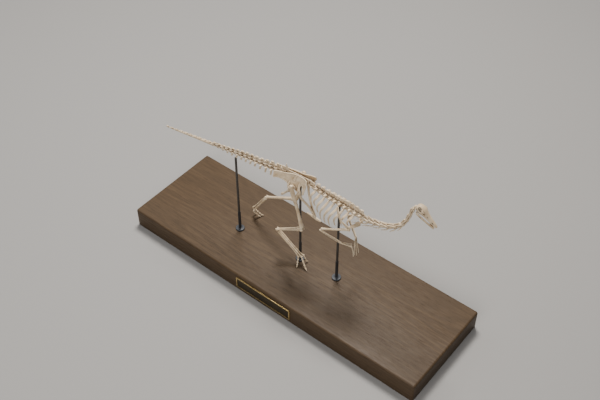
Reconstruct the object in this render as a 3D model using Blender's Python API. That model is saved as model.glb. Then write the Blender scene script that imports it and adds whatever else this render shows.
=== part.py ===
"""A tabletop display model: the skeleton of an ostrich-mimic dinosaur in a running
pose, about 1:8.5 in scale, on three rods over a bevelled wooden board with a name plate.

The board stands on z = 0 with its middle at the origin, and the head points along +X.
Bones are laid out in millimetres in the animal's own frame: +X forwards, +Y to its
left, +Z up from the top of the board. The empty `mount` turns that frame on the board.
"""

import math

import bmesh
import bpy
from mathutils import Matrix, Vector

MM = 0.001
GAP = 0.3  # clearance between touching pieces, mm

# The board and its plate, mm
BOARD_LENGTH = 450.0
BOARD_WIDTH = 140.0
BOARD_HEIGHT = 28.5
BOARD_ROUND = 2.6
PLATE_LENGTH = 87.0
PLATE_HEIGHT = 17.0
PLATE_THICKNESS = 1.2
PLATE_MIDDLE_X = -1.0
PLATE_DEPTH_DOWN = 5.5  # from the board's top to the plate's upper edge
PLATE_RIM = 1.3
BOARD_Y = (PLATE_THICKNESS + GAP) / 2  # centres the board and its plate on the origin

# How the animal stands on the board
TURN = math.radians(4.65)
SHIFT_Y = BOARD_Y - 0.5

# Rods: place on the board, in the animal's frame, and the height of the top
RODS = {"rod_rear": (-93.0, 0, 126.6), "rod_middle": (2.0, 1.2, 137.2), "rod_front": (57.7, 0, 127.6)}
ROD_RADIUS = 1.5
SLEEVE_RADIUS = 1.9
SLEEVE_HEIGHT = 32.0
FOOT_RADIUS = 6.0
FOOT_HEIGHT = 2.0

# The backbone's centre line from the tail's tip to the skull, mm (x, z)
COLUMN = ((-203, 124.7), (-184, 126.4), (-155, 129.5), (-126, 131.9), (-99, 134.1),
          (-71, 136.9), (-41, 139.1), (-20, 141), (0, 142), (18, 140.5), (31, 137.5),
          (46, 134.2), (60, 132.6), (75, 130.4), (84, 128.8), (92, 128), (105, 129.4),
          (118, 132), (130.5, 137.7), (140, 147.4), (145.4, 158.4), (149, 172), (151.5, 181.5))
# Where the lengths of the backbone part, by x
TAIL_TIP, TAIL_THIN, TAIL_DEEP, SACRUM_REAR, SACRUM_FRONT, NECK_BASE = -203, -112, -62, -31, 20, 90
SPACING = 7.4  # one backbone joint to the next, mm
CHEVRON_TIPS = 127.3  # the level that the tail's lower spines reach down to
FIRST_RIB, LAST_RIB = 28, 84  # places of the vertebrae that carry ribs

# Bones of the left side or of the middle plane, as points along each one, mm
PUBIS = ((7.6, 10.2, 130.4), (10, 7.2, 119), (17, 2.4, 106), (24.5, 0.7, 91))
PUBIC_BOOT = ((12, 0, 91.6), (20, 0, 90.6), (27, 0, 88.6), (32.5, 0, 87.6))
ISCHIUM = ((-7.2, 10.2, 130.8), (-9.5, 7, 123), (-17, 2.2, 113.5), (-23.5, 0.6, 107.5))
ISCHIAL_BOOT = ((-21, 0, 109), (-24.5, 0, 106.6), (-26, 0, 104))
SACRAL_SPIKE = ((-16, 0, 146), (-18, 0, 156.5))
SCAPULA = ((62, 13.0, 138.5), (65.5, 17.0, 131.5), (70, 17.8, 125.5), (77.5, 16.0, 120.3))
CORACOID = ((76, 16.2, 121), (81.5, 14.2, 120), (87.5, 10, 118), (90, 5.6, 116.6))
BLADE_DROP = {"right": (0, 0, 0, 0), "left": (3.5, 1.7, 0, 0)}  # lowers the points of each scapula

# Limb joints, mm
HIP = Vector((-1.6, 13.4, 136.4))
KNEE = {"right": Vector((16.9, -17.3, 81.5)), "left": Vector((-16.3, 19.6, 82.2))}
ANKLE = {"right": Vector((-27.9, -5.9, 43.3)), "left": Vector((-66.8, 26, 51.8))}
TOE_ROOT = {"right": Vector((8.0, -5.4, 13.5)), "left": Vector((-90.4, 28.9, 13.5))}
SHOULDER = Vector((79.2, 14.6, 114.6))
ELBOW = {"right": Vector((49.3, -25.7, 108)), "left": Vector((55.5, 25, 89.5))}
WRIST = {"right": Vector((74.5, -22.5, 97)), "left": Vector((73.5, 15, 72))}
# From the wrist to the knuckles, from there to the finger tips, and across the hand
PALM = {"right": Vector((12.6, 4.4, -1.6)), "left": Vector((0.6, 0.5, -14.5))}
FINGERS = {"right": Vector((2.0, 1.5, -17.0)), "left": Vector((2.0, -0.5, -17.5))}
HAND_SPREAD = {"right": Vector((0.4, -0.6, 0.1)), "left": Vector((0.2, 0.97, 0))}
KNUCKLE_SPACING = 2.3
FINGER_SHARES = {"inner": 0.82, "middle": 1.0, "outer": 0.92}  # length of each finger
SIDES = {"right": -1, "left": 1}
# Largest radius of the bones at each joint, mm
KNEE_RADIUS, ANKLE_RADIUS, ELBOW_RADIUS = 3.7, 2.9, 1.9
FOOT_SPACING = 3.3  # one foot bone to the next at the toes
CLAW_LEVEL = 0.95  # height of the toe tips' centres above the board
FINGER_RADIUS, TOE_RADIUS = 0.8, 1.3
# The hip blades stand ILIUM_LOW_OFFSET out at SOCKET_LEVEL and lean in above it
ILIUM_THICKNESS = 1.8
ILIUM_LEAN = math.radians(20)
ILIUM_LOW_OFFSET = 10.2
SOCKET_LEVEL = 134
# The hip socket's arch: place and radius
SOCKET_X, SOCKET_Z, SOCKET_RADIUS = -0.6, 137, 5.8
# Each foot's heading, and each toe's turn from it and reach along the board: inner to outer
TOES = {"right": (math.radians(-28), ((math.radians(-65), 5.9), (0, 13.9), (math.radians(45), 7.4))),
        "left": (math.radians(35), ((math.radians(5), 8.5), (0, 11.0), (math.radians(-10), 3.5)))}

# The head in its own frame: x along the snout from the neck joint, z up, mm.
# Each station: x, half width, height of the middle, half depth
SKULL_JOINT = Vector((152, 0, 184))
SKULL_PITCH = math.radians(34)
JAW_DROP = math.radians(2)
SKULL_STATIONS = ((-0.8, 2.6, 4.0, 2.0), (1.5, 4.3, 3.4, 5.0), (4.5, 5.2, 3.1, 6.6), (8, 5.3, 3.3, 6.4),
                  (12, 4.7, 3.0, 5.3), (17, 3.6, 2.7, 4.1), (23, 2.7, 2.3, 3.0), (29, 2.2, 1.9, 2.1),
                  (33.4, 1.2, 1.8, 0.8))
JAW = ((6.2, 4.5, -5.3), (11, 4.0, -5.2), (20, 2.6, -3.6), (32, 0.3, -2.0))
JAW_HINGE = Vector((3, 0, -4))
# Eye and snout windows: place, radius and how much longer than high
SKULL_WINDOWS = ((7.6, 5.2, 2.7, 1.0), (15.2, 3.4, 1.5, 1.6))

# Colour, roughness and metallic value of each finish
FINISHES = {"bone": ((0.80, 0.72, 0.58), 0.55, 0), "wood": ((0.20, 0.12, 0.075), 0.35, 0),
            "metal": ((0.035, 0.034, 0.038), 0.45, 0.6), "brass": ((0.62, 0.45, 0.19), 0.3, 1)}


for old in list(bpy.data.objects):
    bpy.data.objects.remove(old)

mount = bpy.data.objects.new("mount", None)
mount.location = (0, SHIFT_Y * MM, BOARD_HEIGHT * MM)
mount.rotation_euler = (0, 0, TURN)
bpy.context.scene.collection.objects.link(mount)


def make_material(name, colour, roughness, metallic=0.0):
    """One Principled material."""
    material = bpy.data.materials.new(name)
    material.use_nodes = True
    shader = material.node_tree.nodes["Principled BSDF"]
    shader.inputs["Base Color"].default_value = (*colour, 1)
    shader.inputs["Roughness"].default_value = roughness
    shader.inputs["Metallic"].default_value = metallic
    return material


def add_object(name, bm, kind, parent=mount):
    """Turns a bmesh in millimetres into a named object with its own material."""
    bmesh.ops.recalc_face_normals(bm, faces=bm.faces)
    bmesh.ops.scale(bm, vec=(MM, MM, MM), verts=bm.verts)
    mesh = bpy.data.meshes.new(name)
    bm.to_mesh(mesh)
    bm.free()
    mesh.materials.append(make_material(name + "_" + kind, *FINISHES[kind]))
    mesh.shade_smooth()
    mesh.set_sharp_from_angle(angle=math.radians(40))
    item = bpy.data.objects.new(name, mesh)
    bpy.context.scene.collection.objects.link(item)
    item.parent = parent
    return item


def on_curve(points, place):
    """A Catmull-Rom point: place 0 is the first point and len(points) - 1 the last."""
    index = max(0, min(len(points) - 2, int(place)))
    t = place - index
    p1, p2 = points[index], points[index + 1]
    p0 = points[index - 1] if index else p1 * 2 - p2
    p3 = points[index + 2] if index + 2 < len(points) else p2 * 2 - p1
    return 0.5 * (2 * p1 + (p2 - p0) * t + (2 * p0 - 5 * p1 + 4 * p2 - p3) * t * t
                  + (3 * p1 - p0 - 3 * p2 + p3) * t ** 3)


def smooth_path(points, count):
    """Evenly numbered points along a smooth curve through the given ones."""
    points = [Vector(point) for point in points]
    return [on_curve(points, (len(points) - 1) * i / (count - 1)) for i in range(count)]


def tube(bm, path, sizes, sides=8, across=(0, 1, 0), facing=None):
    """A closed tube through path. Each size is a radius, or half its width and depth."""
    rings = []
    for i, point in enumerate(path):
        along = (path[min(i + 1, len(path) - 1)] - path[max(i - 1, 0)]).normalized()
        along = facing[i] if facing else along
        wide = Vector(across)
        wide = (wide - along * wide.dot(along)).normalized()
        deep = along.cross(wide)
        size = sizes[i] if isinstance(sizes[i], tuple) else (sizes[i], sizes[i])
        frame = Matrix((wide * size[0], deep * size[1], along)).transposed().to_4x4()
        frame.translation = point
        turn = Matrix.Rotation(math.pi / sides, 4, "Z")
        ring = bmesh.ops.create_circle(bm, segments=sides, radius=1, matrix=frame @ turn)["verts"]
        rings.append({edge for vert in ring for edge in vert.link_edges})
    for near, far in zip(rings, rings[1:]):
        bmesh.ops.bridge_loops(bm, edges=list(near | far))
    for end in (rings[0], rings[-1]):
        bmesh.ops.edgeloop_fill(bm, edges=list(end))


def fuse(name, shells, kind="bone"):
    """Unites overlapping closed shells, each drawn by a function, in one solid."""
    parts = []
    for shell in shells:
        bm = bmesh.new()
        shell(bm)
        parts.append(bm)
    first = add_object(name, parts[0], kind)
    if len(parts) == 1:
        return first
    rest = bmesh.new()
    for bm in parts[1:]:
        bmesh.ops.recalc_face_normals(bm, faces=bm.faces)
        loose = bpy.data.meshes.new("loose")
        bm.to_mesh(loose)
        bm.free()
        rest.from_mesh(loose)
        bpy.data.meshes.remove(loose)
    other = add_object(name + "_added", rest, kind)
    union = first.modifiers.new("union", "BOOLEAN")
    union.operation = "UNION"
    union.solver = "EXACT"
    union.use_self = True
    union.object = other
    bake(first, other)
    return first


def bake(item, *helpers):
    """Applies an object's modifiers and removes the objects that they used."""
    bpy.context.view_layer.update()
    shape = item.evaluated_get(bpy.context.evaluated_depsgraph_get())
    mesh = bpy.data.meshes.new_from_object(shape)
    item.modifiers.clear()
    item.data = mesh
    for helper in helpers:
        bpy.data.objects.remove(helper)


def column_at(x):
    """The backbone's centre at x, and its direction there."""
    points = [Vector((px, 0, pz)) for px, pz in COLUMN]
    index = max(i for i, point in enumerate(points[:-1]) if point.x <= x or i == 0)
    low, high = 0.0, 1.0
    for _ in range(24):
        middle = (low + high) / 2
        if on_curve(points, index + middle).x < x:
            low = middle
        else:
            high = middle
    point = on_curve(points, index + low)
    ahead = on_curve(points, min(index + low + 0.05, len(points) - 1))
    behind = on_curve(points, max(index + low - 0.05, 0))
    return point, (ahead - behind).normalized()


def column_run(x_from, x_to, trim=GAP / 2):
    """Centre points of whole vertebrae between two places, ends trimmed for clearance."""
    steps = 400
    walk = [column_at(x_from + (x_to - x_from) * i / steps)[0] for i in range(steps + 1)]
    lengths = [0.0]
    for a, b in zip(walk, walk[1:]):
        lengths.append(lengths[-1] + (b - a).length)
    total = lengths[-1]
    count = max(1, round(total / SPACING))

    def at(distance):
        i = min(range(len(lengths)), key=lambda k: abs(lengths[k] - distance))
        return walk[i]

    return [at(trim + (total - 2 * trim) * i / count) for i in range(count + 1)]


def spool(bm, ends, radius, sides=8, waist=0.76):
    """Vertebral bodies in a row: wide at each joint, waisted between."""
    path, sizes = [], []
    for a, b in zip(ends, ends[1:]):
        for part in (0.0, 0.5):
            path.append(a.lerp(b, part))
            sizes.append(radius(path[-1].x) * (waist if part else 1.0))
    path.append(ends[-1])
    sizes.append(radius(path[-1].x))
    tube(bm, path, sizes, sides, facing=[column_at(point.x)[1] for point in path])


def blade(bm, root, tip, root_size, tip_size, across=(0, 1, 0)):
    """A flat four-sided spine from root to tip; sizes are half width and half depth."""
    scale = math.sqrt(2)
    sizes = [(root_size[0] * scale, root_size[1] * scale), (tip_size[0] * scale, tip_size[1] * scale)]
    tube(bm, [root, tip], sizes, 4, across)


def ramp(x, low, high, at_low, at_high):
    """A straight change from at_low to at_high between two places."""
    t = max(0.0, min(1.0, (x - low) / (high - low)))
    return at_low + (at_high - at_low) * t


def rounded_board():
    """The bevelled board."""
    bm = bmesh.new()
    bmesh.ops.create_cube(bm, size=1)
    bmesh.ops.scale(bm, vec=(BOARD_LENGTH, BOARD_WIDTH, BOARD_HEIGHT), verts=bm.verts)
    bmesh.ops.translate(bm, vec=(0, BOARD_Y, BOARD_HEIGHT / 2), verts=bm.verts)
    rounded = [edge for edge in bm.edges if max(v.co.z for v in edge.verts) > 1]
    bmesh.ops.bevel(bm, geom=rounded, offset=BOARD_ROUND, offset_type="OFFSET",
                    affect="EDGES", segments=3, profile=0.5, material=-1)
    add_object("base_board", bm, "wood", None)


def name_plate():
    """The blank plate on the board's near side, with a raised rim."""
    bm = bmesh.new()
    bmesh.ops.create_cube(bm, size=1)
    bmesh.ops.scale(bm, vec=(PLATE_LENGTH, PLATE_THICKNESS, PLATE_HEIGHT), verts=bm.verts)
    front = min(bm.faces, key=lambda face: face.calc_center_median().y)
    bmesh.ops.inset_region(bm, faces=[front], thickness=PLATE_RIM, depth=0)
    bmesh.ops.translate(bm, vec=(0, 0.5, 0), verts=front.verts)
    offset = BOARD_Y - BOARD_WIDTH / 2 - GAP - PLATE_THICKNESS / 2
    middle = (PLATE_MIDDLE_X, offset, BOARD_HEIGHT - PLATE_DEPTH_DOWN - PLATE_HEIGHT / 2)
    bmesh.ops.translate(bm, vec=middle, verts=bm.verts)
    add_object("name_plate", bm, "brass", None)


def support_rod(name):
    """A rod with its black sleeve and a round foot, one turned piece."""
    x, y, top = RODS[name]
    heights = (GAP, FOOT_HEIGHT - 0.7, FOOT_HEIGHT, FOOT_HEIGHT, SLEEVE_HEIGHT, SLEEVE_HEIGHT, top)
    radii = (FOOT_RADIUS, FOOT_RADIUS, FOOT_RADIUS - 0.9, SLEEVE_RADIUS, SLEEVE_RADIUS,
             ROD_RADIUS, ROD_RADIUS)
    bm = bmesh.new()
    outline = [bm.verts.new((0, 0, heights[0]))]
    outline += [bm.verts.new((radius, 0, height)) for radius, height in zip(radii, heights)]
    outline.append(bm.verts.new((0, 0, top)))
    edges = [bm.edges.new(pair) for pair in zip(outline, outline[1:])]
    bmesh.ops.spin(bm, geom=edges, cent=(0, 0, 0), axis=(0, 0, 1), angle=math.tau,
                   steps=10, use_merge=True)
    bmesh.ops.remove_doubles(bm, verts=bm.verts, dist=0.001)
    bmesh.ops.translate(bm, vec=(x, y, 0), verts=bm.verts)
    add_object(name, bm, "metal")


def tail_radius(x):
    """Half the thickness of the tail's vertebral bodies."""
    if x < -184:
        return ramp(x, TAIL_TIP, -184, 0.7, 1.6)
    return ramp(x, -184, -110, 1.6, 2.9) + ramp(x, -110, -40, 0, 0.9)


def tail_length(name, x_from, x_to):
    """A length of tail with its spines above, side wings and chevrons below."""
    ends = column_run(x_from, x_to)
    shells = [lambda bm: spool(bm, ends, tail_radius, 6, 0.8)]
    for a, b in zip(ends, ends[1:]):
        centre = (a + b) / 2
        x = centre.x
        if x < -126:
            continue
        back = (b - a).normalized() * -1
        rise = ramp(x, -126, -32, 4.2, 14.0)
        drop = ramp(x, -112, -92, 0, a.z - CHEVRON_TIPS)
        wing = ramp(x, -112, -32, 4.0, 9.0)
        up = Vector((0, 0, 1))
        shells.append(lambda bm, c=centre, k=back, r=rise: blade(
            bm, c + up, c + up * r + k * 1.8, (0.75, 2.0), (0.55, 1.4)))
        if wing > 3.6:
            for side in SIDES.values():
                shells.append(lambda bm, c=centre, k=back, w=wing, s=side: blade(
                    bm, c + Vector((0, s, 1)), c + Vector((0, s * w, 1.2)) + k * 1.5,
                    (1.4, 0.6), (0.8, 0.4), (1, 0, 0)))
        if drop > 4:
            shells.append(lambda bm, a=a.lerp(b, 0.3), k=back, d=drop: blade(
                bm, a - up, a - up * d + k * 3.4, (0.7, 0.9), (0.5, 0.8)))
    fuse(name, shells)


def neck_radius(x):
    """Half the thickness of the neck's vertebral bodies."""
    return ramp(x, NECK_BASE, 150, 3.6, 2.6)


def neck_length(name, x_from, x_to, ribs):
    """A length of neck: waisted bodies, low backward spines and slim neck ribs."""
    ends = column_run(x_from, x_to)
    shells = [lambda bm: spool(bm, ends, neck_radius, 6, 0.72)]
    for a, b in zip(ends, ends[1:]):
        along = (b - a).normalized()
        up = Vector((-along.z, 0, along.x))
        centre = (a + b) / 2
        r = neck_radius(centre.x)
        shells.append(lambda bm, c=centre, u=up, r=r, k=along: blade(
            bm, c + u * 0.4 * r + k, c + u * (r + 1.6) - k * 2.0, (0.7, 1.8), (0.4, 0.8)))
        for side in SIDES.values() if ribs else ():
            wide = Vector((0, side, 0))
            shells.append(lambda bm, c=centre, u=up, r=r, k=along, w=wide: blade(
                bm, c + u * 0.5 * r + k * 2 + w * 0.4 * r, c + u * (r + 0.4) - k * 2.4 + w * 1.5 * r,
                (0.9, 0.8), (0.5, 0.5), (0, 0, 1)))
            if centre.x < 114:
                shells.append(lambda bm, c=centre, u=up, r=r, k=along, w=wide: blade(
                    bm, c - u * 0.5 * r + k * 2 + w * 0.4 * r, c - u * (r + 0.5) - k * 2.6 + w * 1.2 * r,
                    (0.7, 0.7), (0.4, 0.4), (0, 0, 1)))
    fuse(name, shells)


def rib(bm, x, side):
    """One rib: out from the backbone, over the shoulder of the chest and down."""
    top = column_at(x)[0]
    reach = ramp(x, 26, 46, 11.5, 17) - ramp(x, 54, 86, 0, 7.5)
    end_z = ramp(x, 26, 48, 128, 107) + ramp(x, 60, 86, 0, 11)
    lean = ramp(x, 26, 60, -1.5, -4.0) + ramp(x, 60, 86, 0, 3.5)
    drop = top.z - end_z
    guide = [top + Vector((0, side * 1.9, 0.6)), top + Vector((0, side * 0.45 * reach, 5.2)),
             Vector((x + 0.2 * lean, side * 0.86 * reach, top.z + 1.5 - 0.06 * drop)),
             Vector((x + 0.6 * lean, side * reach, top.z - 0.45 * drop)),
             Vector((x + lean, side * 0.88 * reach, end_z))]
    tube(bm, smooth_path(guide, 6), [1.2, 1.1, 1.0, 1.0, 0.95, 0.8], 4)


def trunk_half(side_name):
    """One side of the chest: half of the back vertebrae with that side's ribs."""
    side = SIDES[side_name]
    ends = column_run(SACRUM_FRONT, NECK_BASE)

    def half_column(bm):
        spool(bm, ends, lambda x: 3.1, 6, 0.78)
        cut = bmesh.ops.bisect_plane(bm, geom=bm.verts[:] + bm.edges[:] + bm.faces[:],
                                     plane_co=(0, side * GAP / 2, 0), plane_no=(0, side, 0),
                                     clear_inner=True)["geom_cut"]
        bmesh.ops.edgeloop_fill(bm, edges=[item for item in cut if isinstance(item, bmesh.types.BMEdge)])

    shells = [half_column]
    for a, b in zip(ends, ends[1:]):
        centre = (a + b) / 2
        shells.append(lambda bm, c=centre: blade(
            bm, c + Vector((0, side * (GAP / 2 + 0.45), 1)),
            c + Vector((-1.2, side * (GAP / 2 + 0.45), ramp(c.x, 60, 86, 12.6, 8.5))),
            (0.45, 2.4), (0.45, 1.7)))
        if FIRST_RIB < centre.x < LAST_RIB:
            shells.append(lambda bm, x=centre.x: rib(bm, x, side))
    fuse("trunk_" + side_name, shells)


def sacrum():
    """The fused hip vertebrae between the two ilia, with short side struts."""
    ends = column_run(SACRUM_REAR, SACRUM_FRONT)
    shells = [lambda bm: spool(bm, ends, lambda x: 3.3, 6, 0.86)]
    crest = [column_at(x)[0] + Vector((0, 0, 6)) for x in (SACRUM_REAR + 3, SACRUM_FRONT - 3)]
    shells.append(lambda bm: blade(bm, crest[0], crest[1], (0.8, 6.0), (0.8, 6.0)))
    shells.append(lambda bm: blade(
        bm, Vector(SACRAL_SPIKE[0]), Vector(SACRAL_SPIKE[1]), (0.7, 2.2), (0.5, 0.9)))
    for a, b in list(zip(ends, ends[1:]))[::2]:
        centre = (a + b) / 2
        for side in SIDES.values():
            inner = ilium_offset(centre.z + 4) - ILIUM_THICKNESS / 2 - 2 * GAP
            shells.append(lambda bm, c=centre, s=side, w=inner: blade(
                bm, c + Vector((0, s, 2)), c + Vector((0, s * w, 4)), (1.2, 0.9), (1.2, 0.9), (1, 0, 0)))
    fuse("sacrum", shells)


def ilium_offset(z):
    """How far the middle of the ilium's blade stands from the middle plane at z."""
    return ILIUM_LOW_OFFSET - math.tan(ILIUM_LEAN) * (z - SOCKET_LEVEL)


def ilium(side_name):
    """One hip blade: long and low, arched below over the hip socket."""
    side = SIDES[side_name]
    socket = [(SOCKET_X + SOCKET_RADIUS * math.cos(turn), SOCKET_Z + SOCKET_RADIUS * math.sin(turn))
              for turn in (math.radians(degrees) for degrees in range(0, 181, 30))]
    crest = [(-11, 137.5), (-18, 139), (-29, 137.5), (-31.5, 142.5), (-29, 149), (-18, 152),
             (-4, 155), (8, 155.5), (16, 153.5), (20.5, 149), (20.5, 143.5), (16, 145), (12, 142),
             (9.4, 137)]
    outline = [(9.4, 132.2), (5.4, 132.8)] + socket + [(-6.6, 133), (-9.2, 132.6)] + crest
    bm = bmesh.new()
    verts = [bm.verts.new((x, 0, z - SOCKET_LEVEL)) for x, z in outline]
    face = bm.faces.new(verts)
    made = bmesh.ops.extrude_face_region(bm, geom=[face])["geom"]
    moved = [item for item in made if isinstance(item, bmesh.types.BMVert)]
    bmesh.ops.translate(bm, vec=(0, ILIUM_THICKNESS, 0), verts=moved)
    bmesh.ops.translate(bm, vec=(0, -ILIUM_THICKNESS / 2, 0), verts=bm.verts)
    bmesh.ops.rotate(bm, cent=(0, 0, 0), matrix=Matrix.Rotation(side * ILIUM_LEAN, 3, "X"), verts=bm.verts)
    bmesh.ops.translate(bm, vec=(0, side * ILIUM_LOW_OFFSET, SOCKET_LEVEL), verts=bm.verts)
    bmesh.ops.triangulate(bm, faces=[f for f in bm.faces if len(f.verts) > 4])
    add_object("ilium_" + side_name, bm, "bone")


def pubes():
    """Both pubes, joined along their lower half, with the long boot at the end."""
    shells = []
    for side in SIDES.values():
        path = smooth_path([(x, side * y, z) for x, y, z in PUBIS], 5)
        shells.append(lambda bm, p=path: tube(bm, p, [2.0, 1.7, 1.6, 1.4, 1.3], 6))
    boot_sizes = [(0.8, 0.9), (1.5, 1.5), (1.7, 2.1), (1.7, 2.4), (1.6, 2.2), (1.0, 1.0)]
    shells.append(lambda bm: tube(bm, smooth_path(PUBIC_BOOT, 6), boot_sizes))
    fuse("pubes", shells)


def ischia():
    """Both ischia, joined near the tip with a small boot."""
    shells = []
    for side in SIDES.values():
        path = smooth_path([(x, side * y, z) for x, y, z in ISCHIUM], 5)
        shells.append(lambda bm, p=path: tube(bm, p, [1.6, 1.4, 1.3, 1.1, 1.1], 6))
    boot_sizes = [(1.1, 1.4), (1.3, 2.0), (0.9, 1.2)]
    shells.append(lambda bm: tube(bm, smooth_path(ISCHIAL_BOOT, 3), boot_sizes))
    fuse("ischia", shells)


def long_bone(bm, start, end, shaft, head, foot, clear, bow=Vector((0, 0, 0)), sides=8, flat=1.0):
    """A limb bone: flared ends, a round lower end on the joint, clear of the one above."""
    along = (end - start).normalized()
    length = (end - start).length
    stops = [(clear, head * 0.8), (clear + 0.9 * head, head), (clear + 2.4 * head, shaft * 1.1),
             (0.5 * length, shaft), (length - 2.6 * foot, shaft * 1.1),
             (length - 0.2 * foot, foot), (length + 0.75 * foot, foot * 0.6)]
    path, sizes = [], []
    for distance, size in stops:
        share = max(0.0, min(1.0, distance / length))
        path.append(start + along * distance + bow * math.sin(math.pi * share))
        sizes.append((size, size * flat))
    tube(bm, path, sizes, sides)


def digit(bm, joints, radius, claw, clear):
    """A finger or toe: a row of bones swelling at each knuckle, and a pointed claw."""
    first = joints[0] + (joints[1] - joints[0]).normalized() * clear
    points = [first] + list(joints[1:])
    path, sizes = [first], [radius]
    for i, (a, b) in enumerate(zip(points, points[1:])):
        last = i == len(points) - 2
        if not last:
            path.append(a.lerp(b, 0.5))
            sizes.append(radius * 0.72)
        path.append(b)
        sizes.append(claw if last else radius)
        radius *= 0.9
    tube(bm, path, sizes, 5)


def leg(side_name):
    """One hind leg: femur, shin, foot bones and three toes."""
    side = SIDES[side_name]
    hip = Vector((HIP.x, side * HIP.y, HIP.z))
    knee, ankle, root = KNEE[side_name], ANKLE[side_name], TOE_ROOT[side_name]
    head = Vector((-0.9, side * 9.2, 137.2))
    fuse("femur_" + side_name, [
        lambda bm: long_bone(bm, hip + Vector((0, side * 0.4, 3)), knee, 2.4, 2.8, KNEE_RADIUS, 0,
                             Vector((-0.4, 0, 0))),
        lambda bm: tube(bm, [hip, head.lerp(hip, 0.5), head, head - Vector((0, side * 2, 0))],
                        [2.4, 2.2, 3.0, 2.0], 8, (1, 0, 0))])

    shin = (ankle - knee).normalized()
    outside = Vector((0, side, 0))
    outside = (outside - shin * outside.dot(shin)).normalized()
    calf_top = knee + shin * (KNEE_RADIUS + GAP + 2.2) + outside * 2.6
    calf_end = ankle - shin * 3.5 + outside * 1.6
    fuse("shin_" + side_name, [
        lambda bm: long_bone(bm, knee, ankle, 2.0, 3.3, ANKLE_RADIUS, KNEE_RADIUS + GAP),
        lambda bm: tube(bm, smooth_path([calf_top, calf_top.lerp(calf_end, 0.5), calf_end], 5),
                        [1.3, 0.9, 0.75, 0.7, 0.7], 6)])

    heading, toes = TOES[side_name]
    lead = Vector((math.cos(heading), math.sin(heading), 0))
    spread = Vector((-lead.y, lead.x, 0)) * side
    knuckles = [root + spread * across * FOOT_SPACING + lead * ahead
                for across, ahead in ((-1, -0.6), (0, 0.8), (1, -1.4))]
    shells = []
    slope = (root - ankle).normalized()
    level = (spread - slope * spread.dot(slope)).normalized()
    for index, knuckle in enumerate(knuckles):
        top = ankle + level * (index - 1) * 1.3
        shells.append(lambda bm, t=top, k=knuckle: long_bone(
            bm, t, k, 1.3, 1.7, 1.5, ANKLE_RADIUS + 0.2 + GAP, sides=6))
    fuse("metatarsus_" + side_name, shells)

    for name, knuckle, (fan, reach) in zip(("inner", "middle", "outer"), knuckles, toes):
        turn = heading + side * fan
        ahead = Vector((math.cos(turn), math.sin(turn), 0))
        joints = [knuckle + ahead * reach * along - Vector((0, 0, (knuckle.z - CLAW_LEVEL) * fall))
                  for along, fall in ((0, 0), (0.4, 0.46), (0.74, 0.84), (1, 1))]
        bm = bmesh.new()
        digit(bm, joints, TOE_RADIUS, 0.55, 1.65 + GAP)
        add_object("toe_" + name + "_" + side_name, bm, "bone")


def arm(side_name):
    """One arm: shoulder blade, upper arm, forearm, palm bones and three fingers."""
    side = SIDES[side_name]
    shoulder = Vector((SHOULDER.x, side * SHOULDER.y, SHOULDER.z))
    elbow, wrist = ELBOW[side_name], WRIST[side_name]
    blade_path = smooth_path([(x, side * y, z - drop)
                              for (x, y, z), drop in zip(SCAPULA, BLADE_DROP[side_name])], 6)
    blade_sizes = [(0.6, 1.4), (0.7, 1.9), (0.7, 1.6), (0.9, 1.5), (1.3, 1.9), (1.6, 2.2)]
    front = smooth_path([(x, side * y, z) for x, y, z in CORACOID], 5)
    front_sizes = [(1.3, 2.0), (1.4, 3.1), (1.2, 4.0), (1.0, 3.2), (0.7, 1.8)]
    fuse("shoulder_blade_" + side_name, [
        lambda bm: tube(bm, blade_path, blade_sizes, 8),
        lambda bm: tube(bm, front, front_sizes, 8)])

    hang = (elbow - shoulder).normalized()
    fuse("upper_arm_" + side_name, [
        lambda bm: long_bone(bm, shoulder - hang * 1.5, elbow - hang * 1.5, 1.6, 2.3, ELBOW_RADIUS, 0)])

    fore = (wrist - elbow).normalized()
    fold = (fore - hang * fore.dot(hang)).normalized()
    elbow = elbow + fold * (ELBOW_RADIUS + 1.1) + hang * 1.6
    fore = (wrist - elbow).normalized()
    apart = fore.cross(Vector((0, side, 0))).normalized()
    fuse("forearm_" + side_name, [
        lambda bm: long_bone(bm, elbow - apart * 0.5, wrist - apart * 0.7, 0.95, 1.4, 1.15,
                             0, apart * -0.9, 5),
        lambda bm: long_bone(bm, elbow + apart * 0.7, wrist + apart * 0.7, 0.8, 1.1, 1.15,
                             0.5, apart * 0.9, 5)])

    palm, fingers, spread = PALM[side_name], FINGERS[side_name], HAND_SPREAD[side_name].normalized()
    knuckles = [wrist + palm + spread * i * KNUCKLE_SPACING for i in (-1, 0, 1)]
    shells = []
    for index, knuckle in enumerate(knuckles):
        top = wrist + spread * (index - 1) * 1.0
        shells.append(lambda bm, t=top, k=knuckle: long_bone(
            bm, t, k, 0.75, 0.95, 0.95, 2.1 + GAP, sides=4))
    fuse("palm_" + side_name, shells)
    for (name, share), knuckle, across in zip(FINGER_SHARES.items(), knuckles, (-1.6, 0, 1.6)):
        fan = spread * across
        joints = [knuckle, knuckle + (fingers * 0.42 + palm * 0.06) * share + fan * 0.5,
                  knuckle + (fingers * 0.74 + palm * 0.05) * share + fan, knuckle + fingers * share + fan]
        bm = bmesh.new()
        digit(bm, joints, FINGER_RADIUS, 0.4, 1.05 + GAP)
        add_object("finger_" + name + "_" + side_name, bm, "bone")


def pitch_head(bm, drop=0.0):
    """Turns head pieces from their own frame to the end of the neck."""
    turn = Matrix.Rotation(SKULL_PITCH, 4, "Y")
    hinge = Matrix.Translation(JAW_HINGE) @ Matrix.Rotation(drop, 4, "Y") @ Matrix.Translation(-JAW_HINGE)
    bmesh.ops.transform(bm, matrix=Matrix.Translation(SKULL_JOINT) @ turn @ hinge, verts=bm.verts)


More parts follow.
